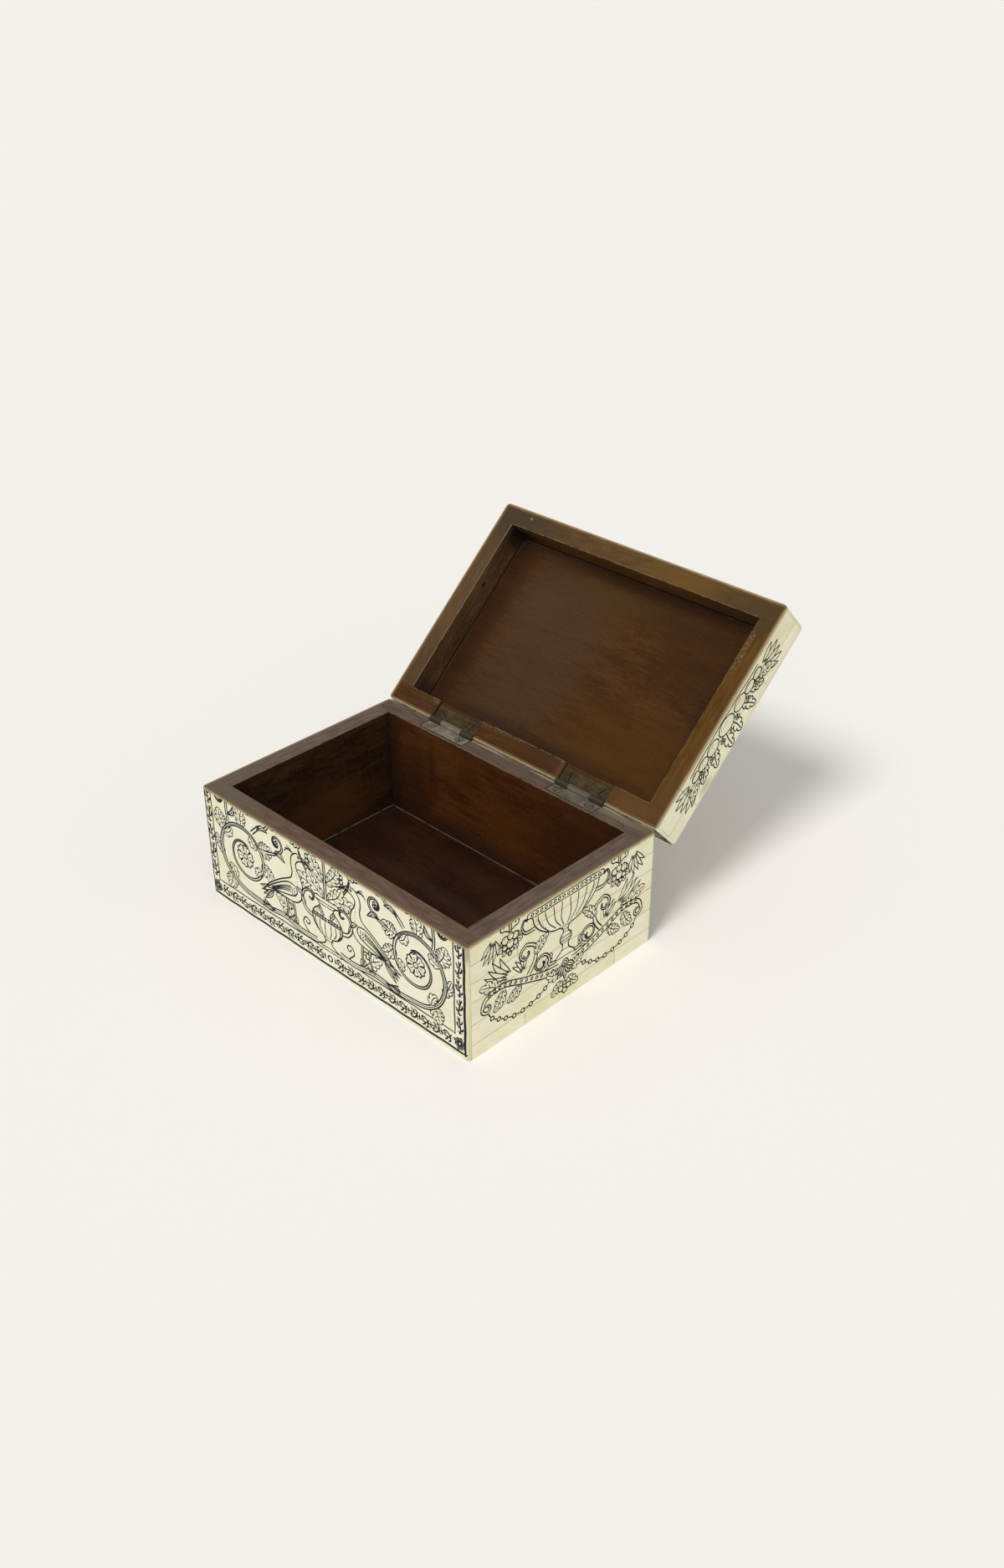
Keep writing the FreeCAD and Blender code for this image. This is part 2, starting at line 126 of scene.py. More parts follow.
# %% Floor, soft key light and white surroundings
FLOOR_SIZE = 12
FLOOR_COLOUR = (0.86, 0.842, 0.818, 1)
LIGHT_COLOUR = (1, 0.985, 0.965)
WORLD_COLOUR = (1, 0.99, 0.975, 1)
KEY_DIRECTION = Vector((0.10, -0.62, 0.775))
KEY_STRENGTH, KEY_SPREAD = 2.0, math.radians(17)
SIDE_DIRECTION = Vector((1, -0.30, 0.40))
SIDE_STRENGTH, SIDE_SPREAD = 0.65, math.radians(110)
WORLD_STRENGTH = 0.465

floor_mesh = bmesh.new()
bmesh.ops.create_grid(floor_mesh, x_segments=1, y_segments=1, size=FLOOR_SIZE / 2)
floor_data = bpy.data.meshes.new("studio_floor")
floor_mesh.to_mesh(floor_data)
floor_mesh.free()
studio_floor = bpy.data.objects.new("studio_floor", floor_data)
bpy.context.scene.collection.objects.link(studio_floor)

floor_paint = bpy.data.materials.new("pale_sweep")
floor_paint.use_nodes = True
floor_shader = floor_paint.node_tree.nodes["Principled BSDF"]
floor_shader.inputs["Base Color"].default_value = FLOOR_COLOUR
floor_shader.inputs["Roughness"].default_value = 1
floor_shader.inputs["Specular IOR Level"].default_value = 0
floor_data.materials.append(floor_paint)


def soft_sun(name, direction, strength, spread):
    data = bpy.data.lights.new(name, "SUN")
    data.energy, data.angle, data.color = strength, spread, LIGHT_COLOUR
    lamp = bpy.data.objects.new(name, data)
    lamp.rotation_euler = direction.to_track_quat("Z", "Y").to_euler()
    bpy.context.scene.collection.objects.link(lamp)


soft_sun("key", KEY_DIRECTION, KEY_STRENGTH, KEY_SPREAD)
soft_sun("side_fill", SIDE_DIRECTION, SIDE_STRENGTH, SIDE_SPREAD)
world = bpy.data.worlds.new("surroundings")
world.use_nodes = True
surroundings = world.node_tree.nodes["Background"]
surroundings.inputs["Color"].default_value = WORLD_COLOUR
surroundings.inputs["Strength"].default_value = WORLD_STRENGTH
bpy.context.scene.world = world
bpy.context.scene.view_settings.view_transform = "Standard"
print("key light elevation %.0f degrees" % math.degrees(math.asin(KEY_DIRECTION.normalized().z)))

# %% [markdown]
# ## Materials from nodes
#
# Nothing here is a picture: each finish is a small graph of noises and masks that reads the place of a point
# on the object. Three short helpers keep the graphs readable. `add` makes a node and fills or links its
# sockets by name, `maths` chains two numbers, and `blend` mixes two colours. `finished` plugs the results
# into the shader, with a fine relief that only bends the light.
# %% Helpers that build a finish
def new_finish(name):
    finish = bpy.data.materials.new(name)
    finish.use_nodes = True
    return finish


def fill(finish, socket, value):
    """Link a socket to another node's output, or set it to a plain value."""
    if isinstance(value, bpy.types.NodeSocket):
        finish.node_tree.links.new(value, socket)
    else:
        socket.default_value = value


def add(finish, kind, settings=None, **sockets):
    node = finish.node_tree.nodes.new("ShaderNode" + kind)
    for name, value in (settings or {}).items():
        setattr(node, name, value)
    for name, value in sockets.items():
        fill(finish, node.inputs[name.replace("_", " ")], value)
    return node


def maths(finish, operation, first, second=0.0, clamp=False):
    node = add(finish, "Math", {"operation": operation, "use_clamp": clamp})
    fill(finish, node.inputs[0], first)
    fill(finish, node.inputs[1], second)
    return node.outputs[0]


def blend(finish, share, first, second):
    """Two colours mixed. The node's sockets for a share and two colours are its numbers 0, 6 and 7."""
    node = add(finish, "Mix", {"data_type": "RGBA"})
    for index, value in ((0, share), (6, first), (7, second)):
        if isinstance(value, tuple) and len(value) == 3:
            value = value + (1,)
        fill(finish, node.inputs[index], value)
    return node.outputs[2]


def ramp(finish, number, low, high):
    """A number stretched so that low becomes 0 and high becomes 1."""
    smooth_step = {"interpolation_type": "SMOOTHSTEP"}
    node = add(finish, "MapRange", smooth_step, Value=number, From_Min=low, From_Max=high)
    return node.outputs["Result"]


def noise(finish, place, scale, stretch=(1, 1, 1), detail=3.0, roughness=0.5, shift=0.0):
    """Soft noise with features about 1 / scale metres across, drawn out along an axis by stretch."""
    moved = add(finish, "Mapping", Vector=place, Scale=stretch, Location=(shift, shift * 0.7, -shift))
    cloud = add(finish, "TexNoise", Vector=moved.outputs[0], Scale=scale, Detail=detail, Roughness=roughness)
    return cloud.outputs[0]


def closed_place(finish, on_lid):
    """The point's place with the lid closed, so that both halves share one set of axes."""
    place = add(finish, "TexCoord").outputs["Object"]
    if not on_lid:
        return place
    turn = add(finish, "Mapping", Vector=place, Rotation=(open_angle, 0, 0))
    turn.inputs["Location"].default_value = unswing.to_translation()
    return turn.outputs[0]


def split(finish, place):
    return add(finish, "SeparateXYZ", Vector=place).outputs


def shader_of(finish):
    return finish.node_tree.nodes["Principled BSDF"]


def stretched(finish, number, from_min, from_max, to_min, to_max):
    """A number carried evenly from one range to another."""
    limits = {"From_Min": from_min, "From_Max": from_max, "To_Min": to_min, "To_Max": to_max}
    return add(finish, "MapRange", Value=number, **limits).outputs["Result"]


def finished(finish, paint, gloss, shine, relief, strength, depth=0.1 * MM):
    """The finish with its colour, roughness, shine and fine relief plugged into the shader."""
    bump = add(finish, "Bump", Height=relief, Strength=strength, Distance=depth).outputs[0]
    plugs = {"Base Color": paint, "Roughness": gloss, "Specular IOR Level": shine, "Normal": bump}
    for name, value in plugs.items():
        fill(finish, shader_of(finish).inputs[name], value)
    return finish


print("finishes are made from noises and masks that read a place")

# %% [markdown]
# ## Hardwood
#
# The case and lid are a red-brown hardwood like mahogany, rubbed with a thin dark varnish. Long soft
# streaks follow the board, short dark pores lie along the same way, and a slow cloudy change runs over both.
# The rims are greyer and paler than the inside, partly from handling and partly from a painted sheen
# that stands in for the light their upward faces reflect. One function makes every board's wood: the grain
# axis, the colours and a shift that keeps two boards from matching are its arguments. Dark grain is redder
# than pale grain, so green and blue change more than red.
# %% The wood finish
ALONG = {"x": (1, 0, 0), "y": (0, 1, 0), "z": (0, 0, 1)}
CHANNEL_CONTRAST = (1.0, 1.12, 1.2)


def drawn_out(axis, share):
    """Stretch factors that draw a noise out along an axis."""
    return tuple(share if part else 1 for part in ALONG[axis])


def multiplied(values, factor):
    """A colour or a place with each of its numbers multiplied."""
    return tuple(part * factor for part in values)


def wood(name, grain, colour, on_lid=False, shift=0.0, contrast=0.42, edits=()):
    finish = new_finish(name)
    place = closed_place(finish, on_lid)
    fibres = noise(finish, place, 800, drawn_out(grain, 0.07), detail=4, roughness=0.65, shift=shift)
    figure = noise(finish, place, 130, drawn_out(grain, 0.28), detail=4, roughness=0.55, shift=shift + 3)
    clouds = noise(finish, place, 34, drawn_out(grain, 0.6), detail=3, shift=shift + 9)
    grains = noise(finish, place, 1100, drawn_out(grain, 0.6), detail=2, shift=shift + 6)
    tone = 0.0
    for layer, share in ((fibres, 0.28), (figure, 0.30), (clouds, 0.20), (grains, 0.22)):
        tone = maths(finish, "ADD", tone, maths(finish, "MULTIPLY", layer, share))
    dark = tuple(part * (1 - contrast * share) for part, share in zip(colour, CHANNEL_CONTRAST))
    light = tuple(part * (1 + contrast * share) for part, share in zip(colour, CHANNEL_CONTRAST))
    paint = blend(finish, ramp(finish, tone, 0.38, 0.62), dark, light)
    pores = noise(finish, place, 1700, drawn_out(grain, 0.06), detail=1, shift=shift + 12)
    pore_mask = ramp(finish, pores, 0.60, 0.72)
    paint = blend(finish, maths(finish, "MULTIPLY", pore_mask, 0.5), paint, multiplied(dark, 0.4))
    flecks = ramp(finish, noise(finish, place, 1000, detail=2, shift=shift + 15), 0.60, 0.72)
    paint = blend(finish, maths(finish, "MULTIPLY", flecks, 0.55), paint, multiplied(light, 1.5))
    for edit in edits:
        paint = edit(finish, place, paint)
    gloss = stretched(finish, tone, 0.35, 0.65, 0.46, 0.66)
    relief = maths(finish, "SUBTRACT", maths(finish, "MULTIPLY", fibres, 0.6), pore_mask)
    return finished(finish, paint, gloss, 0.07, relief, 0.25)


print("wood is made by one function with the grain along x or y")

# %% [markdown]
# ## Marks that use and dust leave, and painted light and shade
#
# Wear is what makes plain wood look old. Each edit takes the colour so far and a place, and returns a new
# colour: a greyed rim where the lid lands, partly painted sheen; a pale line along the rim's inner edge,
# partly wear and partly a painted highlight; a pale line of dust where the floor meets the walls, a dark one
# where the lid's walls meet its panel, dark blotches, patches of colour and pale scuffs. Some patches are
# stains, and others are painted shade in corners and along walls, painted light and painted reflection. The
# masks read the place on the object, so they stay on it from any side.
# %% Masks that read a place
def band(finish, number, low, high, soft):
    """1 between low and high, falling softly to 0 outside."""
    rise = ramp(finish, number, low - soft, low)
    fall = ramp(finish, number, high, high + soft)
    return maths(finish, "SUBTRACT", rise, fall, clamp=True)


def near(finish, number, target, within, soft):
    """1 where a number lies within a distance of its target."""
    distance = maths(finish, "ABSOLUTE", maths(finish, "SUBTRACT", number, target))
    return ramp(finish, distance, within + soft, within)


def times(finish, *masks):
    product = masks[0]
    for mask in masks[1:]:
        product = maths(finish, "MULTIPLY", product, mask)
    return product


def past_the_walls(finish, place):
    """How far a point lies beyond the inner faces of the four walls."""
    x, y, _ = split(finish, place)
    past_x = maths(finish, "SUBTRACT", maths(finish, "ABSOLUTE", x), INNER_WIDTH)
    past_y = maths(finish, "SUBTRACT", maths(finish, "ABSOLUTE", y), INNER_DEPTH)
    return maths(finish, "MAXIMUM", past_x, past_y)


def patchy(finish, place, scale, low, high, shift, stretch=(1, 1, 1)):
    """1 in the cloudy patches of a noise and 0 between them."""
    return ramp(finish, noise(finish, place, scale, stretch, detail=4, shift=shift), low, high)


print("masks for bands, edges and patches")

# %% Edits of the wood
JOINT_SHADOW = (0.008, 0.005, 0.003)
JOINT_DUST = (0.16, 0.12, 0.085)
FLOOR_DUST = (0.17, 0.14, 0.10)
SCUFF = (0.23, 0.175, 0.125)


def rim_wear_and_sheen(height, colour_now, grain, shift=5.0, uneven=0.3):
    """Paint the rim in a greyer, streaky brown: partly the wear of handling and partly a painted sheen."""
    def edit(finish, place, paint):
        mask = near(finish, split(finish, place)[2], height, 0.12 * MM, 0.2 * MM)
        cloud = noise(finish, place, 480, drawn_out(grain, 0.16), detail=5, roughness=0.65, shift=shift)
        darker, lighter = multiplied(colour_now, 1 - uneven), multiplied(colour_now, 1 + uneven)
        handled = blend(finish, ramp(finish, cloud, 0.3, 0.7), darker, lighter)
        return blend(finish, times(finish, mask, 0.88), paint, handled)
    return edit


def inner_edge_wear_and_highlight(height, colour_now, shift=2.0, broken=0.4):
    """A thin pale line along the inner edge of a rim, partly wear and partly a painted highlight; a lower
    broken leaves fewer gaps in it.
    """
    def edit(finish, place, paint):
        on_edge = near(finish, past_the_walls(finish, place), 0, 0.16 * MM, 0.12 * MM)
        on_rim = near(finish, split(finish, place)[2], height, 0.2 * MM, 0.2 * MM)
        left_over = patchy(finish, place, 300, broken, broken + 0.2, shift)
        return blend(finish, times(finish, on_edge, on_rim, left_over), paint, colour_now)
    return edit


def panel_joint(finish, place, paint):
    """The dark line where the lid's walls meet its panel, with a little pale dust beside it."""
    at_panel = near(finish, split(finish, place)[2], LID_PANEL, 0.35 * MM, 0.3 * MM)
    past = past_the_walls(finish, place)
    gap = times(finish, near(finish, past, 0, 0.3 * MM, 0.35 * MM), at_panel, 0.85)
    paint = blend(finish, gap, paint, JOINT_SHADOW)
    dust = times(finish, near(finish, past, -1.0 * MM, 0.12 * MM, 0.2 * MM), at_panel)
    dust = times(finish, dust, patchy(finish, place, 120, 0.35, 0.70, 4), 0.24)
    return blend(finish, dust, paint, JOINT_DUST)


def floor_dust(finish, place, paint):
    """Pale dust along the foot of the four walls."""
    x, y, _ = split(finish, place)
    for number, wall in ((x, INNER_WIDTH), (y, INNER_DEPTH)):
        away = maths(finish, "SUBTRACT", wall, maths(finish, "ABSOLUTE", number))
        foot = band(finish, away, -1 * MM, 0.45 * MM, 0.35 * MM)
        mask = times(finish, foot, patchy(finish, place, 200, 0.25, 0.55, 7), 0.7)
        paint = blend(finish, mask, paint, FLOOR_DUST)
    return paint


def blotches(colour_now, scale, low, high, strength, shift, stretch=(1, 1, 1)):
    """Cloudy spots of one colour; low and high are the noise where they start and where they are full."""
    def edit(finish, place, paint):
        mask = times(finish, patchy(finish, place, scale, low, high, shift, stretch), strength)
        return blend(finish, mask, paint, colour_now)
    return edit


def patch(finish, place, centre, reach, soft, ragged, shift):
    """1 inside an ellipsoid about a closed place in millimetres, with a soft and ragged outline."""
    moved = add(finish, "VectorMath", {"operation": "SUBTRACT"})
    fill(finish, moved.inputs[0], place)
    moved.inputs[1].default_value = multiplied(centre, MM)
    shrunk = add(finish, "VectorMath", {"operation": "DIVIDE"})
    fill(finish, shrunk.inputs[0], moved.outputs[0])
    shrunk.inputs[1].default_value = multiplied(reach, MM)
    length = add(finish, "VectorMath", {"operation": "LENGTH"})
    fill(finish, length.inputs[0], shrunk.outputs[0])
    rough = maths(finish, "MULTIPLY", noise(finish, place, 320, detail=4, shift=shift), ragged * 2)
    radius = maths(finish, "ADD", length.outputs["Value"], maths(finish, "SUBTRACT", rough, ragged))
    return ramp(finish, radius, 1 + soft, 1 - soft)


def colour_patch(centre, reach, colour_now, strength, soft=0.35, ragged=0.35, shift=0.0):
    """One patch of another colour: here a stain, there painted shade, painted light or painted reflection."""
    def edit(finish, place, paint):
        mask = times(finish, patch(finish, place, centre, reach, soft, ragged, shift), strength)
        return blend(finish, mask, paint, colour_now)
    return edit


def scuffs(centre, reach, strength, shift=0.0):
    """Pale specks inside a patch, where something has knocked the wood."""
    def edit(finish, place, paint):
        specks = patchy(finish, place, 1000, 0.50, 0.60, shift)
        mask = times(finish, patch(finish, place, centre, reach, 0.6, 0.7, shift), specks, strength)
        return blend(finish, mask, paint, SCUFF)
    return edit


print("edits for rims, edges, joints, dust, blotches, stains and scuffs")

# %% [markdown]
# ## Boards
#
# A board's own shape is right, but its edges are mathematically sharp. Real edges are sanded, and the thin
# line of light on them is what the eye reads as wood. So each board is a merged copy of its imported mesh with
# a small bevel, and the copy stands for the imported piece.
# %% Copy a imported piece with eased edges
BOARD_EASE = 0.16 * MM
SAME_PLACE = 1e-7
FLAT = math.radians(1)
SHARP = math.radians(30)


def packed_mesh(node):
    """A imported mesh, its loose triangles merged back into the flat faces that they came from."""
    mesh = bmesh.new()
    mesh.from_mesh(frame["nodes"][node].data)
    bmesh.ops.remove_doubles(mesh, verts=mesh.verts, dist=SAME_PLACE)
    bmesh.ops.dissolve_limit(mesh, angle_limit=FLAT, verts=mesh.verts, edges=mesh.edges)
    return mesh


def ease(mesh, width):
    """Round the sharp edges and return the faces that this makes."""
    edges = [edge for edge in mesh.edges if edge.is_manifold and edge.calc_face_angle() > SHARP]
    rounded = bmesh.ops.bevel(
        mesh, geom=edges, offset=width, offset_type="OFFSET", affect="EDGES",
        segments=2, profile=0.5, material=-1, clamp_overlap=True,
    )
    return rounded["faces"]


def new_piece(name, mesh, finish, body, replaced=()):
    data = bpy.data.meshes.new(name)
    mesh.to_mesh(data)
    mesh.free()
    data.materials.append(finish)
    piece = bpy.data.objects.new(name, data)
    bpy.context.scene.collection.objects.link(piece)
    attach(piece, body)
    if replaced:
        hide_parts(*replaced)
    return piece


def eased_copy(node, finish, body):
    mesh = packed_mesh(node)
    ease(mesh, BOARD_EASE)
    new_piece(node + "_dressed", mesh, finish, body, [node])


print("edges of the boards rounded by %.2f mm" % (BOARD_EASE / MM))

# %% Woods of the case
# Pale line on the case rim's inner edge: partly wear, partly a painted highlight.
CASE_EDGE_WEAR_AND_HIGHLIGHT = (0.16, 0.125, 0.10)
case_edge_wear_and_highlight = inner_edge_wear_and_highlight(RIM, CASE_EDGE_WEAR_AND_HIGHLIGHT)
# Painted shade for the dark inner corners of the case; it also colours one small dark spot in the lid.
DARK_SHADE_AND_SPOT = (0.006, 0.0045, 0.0038)
case_woods = {
    "front": wood("case_front_wood", "x", (0.040, 0.014, 0.0040), shift=1, edits=[
        rim_wear_and_sheen(RIM, (0.130, 0.085, 0.059), "x"),
        colour_patch((-88, -58, 64.5), (24, 9, 3), (0.124, 0.102, 0.076), 0.75, soft=0.8),
        case_edge_wear_and_highlight,
    ]),
    "back": wood("case_back_wood", "x", (0.063, 0.0200, 0.0050), shift=4, contrast=0.46, edits=[
        blotches((0.040, 0.0125, 0.0033), 26, 0.46, 0.66, 0.55, 3, (1, 1, 0.5)),
        colour_patch((-42, 53, 54), (20, 9, 12), (0.092, 0.0350, 0.0070), 0.40, soft=0.8, shift=3),
        colour_patch((4, 53, 30), (20, 9, 16), (0.096, 0.0320, 0.0060), 0.45, soft=0.8, shift=5),
        colour_patch((-36, 53, 2), (76, 9, 13), (0.024, 0.0100, 0.0058), 0.85, soft=0.6, ragged=0.2, shift=6),
        colour_patch((-64, 53, 24), (9, 9, 26), (0.026, 0.0095, 0.0050), 0.75, soft=0.7, ragged=0.2, shift=9),
        colour_patch((84, 53, 50), (10, 9, 22), (0.020, 0.0072, 0.0028), 0.80, soft=0.7, shift=10),
        colour_patch((62, 53, 40), (34, 9, 27), (0.034, 0.0125, 0.0048), 0.78, soft=0.8, shift=7),
        # Painted shade in the back left inner corner.
        colour_patch((-84, 53, 20), (11, 9, 46), DARK_SHADE_AND_SPOT, 0.70, soft=0.6),
        colour_patch((-51, 53, 40), (3.5, 4, 15), (0.026, 0.009, 0.003), 0.55, soft=0.7, ragged=0.2),
        rim_wear_and_sheen(RIM, (0.112, 0.080, 0.060), "x"),
        # Painted sheen: a pale grey streak along the back rim.
        colour_patch((72, 60.2, 64.5), (22, 1.9, 3), (0.190, 0.156, 0.106), 0.7, soft=0.8, ragged=0.5, shift=4),
        case_edge_wear_and_highlight,
    ]),
    "left": wood("case_left_wood", "y", (0.042, 0.0205, 0.0090), shift=8, contrast=0.55, edits=[
        # Painted light: a paler patch on the lower left wall that brightens the shade falling there.
        colour_patch((-84, 4, 19), (6, 32, 18), (0.110, 0.0400, 0.0120), 0.72, soft=0.6, ragged=0.6, shift=8),
        blotches((0.024, 0.0110, 0.0065), 34, 0.50, 0.66, 0.3, 6, (1, 0.6, 1)),
        # Painted shade in the left wall's front and back corners.
        colour_patch((-84, -50, 62), (6, 7, 6), DARK_SHADE_AND_SPOT, 0.55, soft=0.6, ragged=0.3, shift=4),
        colour_patch((-84, 53, 30), (6, 3, 26), DARK_SHADE_AND_SPOT, 0.22, soft=0.7, ragged=0.4, shift=2),
        rim_wear_and_sheen(RIM, (0.132, 0.095, 0.073), "y"),
        case_edge_wear_and_highlight,
    ]),
    "right": wood("case_right_wood", "y", (0.040, 0.014, 0.0046), shift=12, edits=[
        rim_wear_and_sheen(RIM, (0.124, 0.087, 0.067), "y"),
        case_edge_wear_and_highlight,
    ]),
}
floor_wood = wood("floor_wood", "x", (0.026, 0.0088, 0.0041), shift=15, edits=[
    blotches((0.018, 0.007, 0.0045), 40, 0.45, 0.65, 0.6, 8),
    # Painted reflection: two faint pale streaks of sheen across the floor.
    colour_patch((-6, 12, 5), (42, 5, 3), (0.056, 0.037, 0.0260), 0.22, soft=0.9, shift=2),
    colour_patch((-14, 37, 5), (56, 6, 3), (0.050, 0.026, 0.0150), 0.24, soft=0.9, shift=4),
    colour_patch((-86, 8, 5), (12, 50, 3), (0.012, 0.0065, 0.0045), 0.65, soft=0.6, shift=6),
    floor_dust,
])
print(len(case_woods), "case woods and the floor's")

# %% Woods of the lid
# Pale line on the lid rim's inner edge: partly wear, partly a painted highlight.
LID_EDGE_WEAR_AND_HIGHLIGHT = (0.22, 0.16, 0.09)
lid_edge_wear_and_highlight = inner_edge_wear_and_highlight(LID_RIM, LID_EDGE_WEAR_AND_HIGHLIGHT)
# Painted shade for the dark front left corner inside the lid.
CORNER_SHADE = (0.009, 0.007, 0.006)
lid_corners = [
    colour_patch((-86, -57, 65), (34, 16, 3), (0.043, 0.033, 0.0225), 0.75, soft=0.8, shift=1),
    colour_patch((86, -56, 65), (24, 13, 3), (0.058, 0.034, 0.0130), 0.70, soft=0.8, shift=2),
]
lid_woods = {
    "front": wood("lid_front_wood", "x", (0.130, 0.060, 0.0170), True, 2, edits=[
        # Painted shade in the lid's front left inner corner.
        colour_patch((-84, -53, 76), (15, 4, 9), CORNER_SHADE, 0.85, soft=0.7, ragged=0.3, shift=1),
        colour_patch((-46, -53, 73), (24, 4, 14), (0.090, 0.043, 0.0130), 0.6, soft=0.7, shift=3),
        colour_patch((66, -53, 73), (30, 4, 14), (0.070, 0.038, 0.0170), 0.7, soft=0.7, shift=5),
        rim_wear_and_sheen(LID_RIM, (0.084, 0.047, 0.0165), "x"),
        colour_patch((34, -57, 65), (24, 9, 3), (0.118, 0.066, 0.0155), 0.75, soft=0.7, shift=3),
        *lid_corners,
        colour_patch((-74, -59.5, 65), (0.9, 0.8, 1), (0.30, 0.24, 0.18), 0.5, soft=0.6),
        panel_joint,
        lid_edge_wear_and_highlight,
    ]),
    "back": wood("lid_back_wood", "x", (0.060, 0.024, 0.0065), True, 5, edits=[
        rim_wear_and_sheen(LID_RIM, (0.060, 0.0245, 0.0065), "x"),
        colour_patch((15, 58, 65), (17, 8, 3), (0.045, 0.0175, 0.0047), 0.7, soft=0.8, shift=4),
        colour_patch((78, 58, 65), (20, 8, 3), (0.112, 0.055, 0.0160), 0.7, soft=0.9, ragged=0.6),
        colour_patch((29, 60, 65), (2, 6, 3), (0.130, 0.052, 0.0160), 0.5, soft=0.9, ragged=0.5),
        scuffs((-18, 54.0, 65), (16, 1.2, 3), 0.26, shift=3),
        scuffs((28, 54.0, 65), (2.6, 1.2, 3), 0.30, shift=5),
        scuffs((-64, 54.4, 65), (3.6, 1.6, 3), 0.36, shift=6),
        panel_joint,
        lid_edge_wear_and_highlight,
    ]),
    "left": wood("lid_left_wood", "y", (0.100, 0.053, 0.027), True, 7, edits=[
        # Painted shade in the lid's front left inner corner.
        colour_patch((-84, -54, 74), (5, 10, 12), CORNER_SHADE, 0.88, soft=0.6, ragged=0.3, shift=1),
        # Painted shade in the lid's back left inner corner.
        colour_patch((-84, 54, 74), (5, 9, 12), (0.030, 0.019, 0.014), 0.65, soft=0.6, ragged=0.3, shift=2),
        colour_patch((-84.2, -16.5, 71), (3, 1.5, 1.2), DARK_SHADE_AND_SPOT, 0.88, soft=0.5, ragged=0.6),
        rim_wear_and_sheen(LID_RIM, (0.085, 0.0475, 0.0205), "y"),
        colour_patch((-89, 50, 65), (9, 22, 3), (0.064, 0.0375, 0.0180), 0.7, soft=0.8, shift=3),
        colour_patch((-89, 4, 65), (9, 14, 3), (0.096, 0.056, 0.0210), 0.6, soft=0.8, shift=6),
        *lid_corners,
        panel_joint,
        inner_edge_wear_and_highlight(LID_RIM, LID_EDGE_WEAR_AND_HIGHLIGHT, broken=0.27),
    ]),
    "right": wood("lid_right_wood", "y", (0.055, 0.026, 0.008), True, 11, edits=[
        rim_wear_and_sheen(LID_RIM, (0.092, 0.042, 0.0070), "y"),
        colour_patch((89, 52, 65), (9, 16, 3), (0.080, 0.043, 0.0125), 0.6, soft=0.8, shift=3),
        *lid_corners,
        scuffs((86.2, -34, 65), (1.3, 12, 3), 0.60, shift=4),
        panel_joint,
        lid_edge_wear_and_highlight,
    ]),
}
panel_wood = wood("panel_wood", "x", (0.052, 0.0200, 0.0042), True, 20, contrast=0.36, edits=[
    colour_patch((-34, 0, 80), (32, 60, 6), (0.055, 0.0320, 0.0190), 0.55, soft=0.6, ragged=0.3, shift=4),
    colour_patch((-48, -26, 80), (16, 14, 6), (0.070, 0.0380, 0.0190), 0.45, soft=0.8, ragged=0.4, shift=2),
    colour_patch((52, 34, 80), (46, 22, 6), (0.066, 0.0260, 0.0020), 0.60, soft=0.7, ragged=0.3, shift=6),
    colour_patch((-84, 0, 80), (14, 70, 6), (0.027, 0.0100, 0.0042), 0.75, soft=0.45, ragged=0.15, shift=7),
    colour_patch((4, -44, 80), (44, 12, 6), (0.064, 0.0320, 0.0075), 0.6, soft=0.6, ragged=0.3, shift=3),
    colour_patch((60, -28, 80), (28, 24, 6), (0.036, 0.0135, 0.0026), 0.60, soft=0.6, ragged=0.3, shift=13),
    colour_patch((84, -8, 80), (9, 60, 6), (0.020, 0.0095, 0.0035), 0.7, soft=0.7, ragged=0.3, shift=9),
    colour_patch((-24, 53, 80), (80, 7, 6), (0.020, 0.0100, 0.0065), 0.65, soft=0.8, ragged=0.3, shift=11),
    # Painted shade in the lid's front left inner corner.
    colour_patch((-84, -53, 80), (9, 8, 6), CORNER_SHADE, 0.85, soft=0.7, ragged=0.3, shift=5),
    colour_patch((34, -38, 80), (20, 6, 6), (0.030, 0.0125, 0.0040), 0.5, soft=0.8, ragged=0.3, shift=15),
    # Painted shadow on the panel along the lid's front wall.
    colour_patch((20, -53, 80), (80, 7.8, 6), (0.018, 0.0058, 0.0014), 0.85, soft=0.5, ragged=0.2, shift=8),
    panel_joint,
])
print(len(lid_woods), "lid woods and the panel's")

# %% Boards and panels of the case and the lid
for side in ("front", "back", "left", "right"):
    eased_copy("base_%s_board" % side, case_woods[side], "box")
    eased_copy("lid_%s_board" % side, lid_woods[side], "lid")
eased_copy("base_floor_panel", floor_wood, "box")
eased_copy("lid_top_panel", panel_wood, "lid")
print("ten boards and panels")

# %% [markdown]
# ## Bone slips
#
# Bone is cream, with fine grey-brown streaks along each slip, and yellower where hands have rubbed the
# corners. A brown line runs under each rim, and the rim itself is golden at its outer edge and dark brown
# further in. Grime has settled on the eased edges at the seams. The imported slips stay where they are, drawn
# in by less than a tenth of a millimetre so that the inked lines can stand at the true outer face.
# %% The bone finish
BONE_INSET = 0.08 * MM
RIM_STAIN = {"case": (RIM, (0.125, 0.088, 0.062)), "lid": (LID_RIM, (0.090, 0.052, 0.020))}
RIM_GOLD = (0.27, 0.172, 0.066)
GOLD_WIDTH = {"case": 1.3 * MM, "lid": 1.35 * MM}
UNDER_RIM = (0.34, 0.255, 0.135)
BACK_RIM = (0.110, 0.088, 0.062)
BACK_RIM_DUST = (0.27, 0.245, 0.205)
BACK_RIM_DIRT = (0.045, 0.034, 0.024)
HANDLED = (0.60, 0.57, 0.33)
HANDLED_MOST = (0.36, 0.31, 0.19)
DRIP = (0.34, 0.235, 0.10)
SMUDGE = (0.36, 0.28, 0.18)
STREAK = (0.52, 0.46, 0.28)
SPECK = (0.42, 0.36, 0.23)
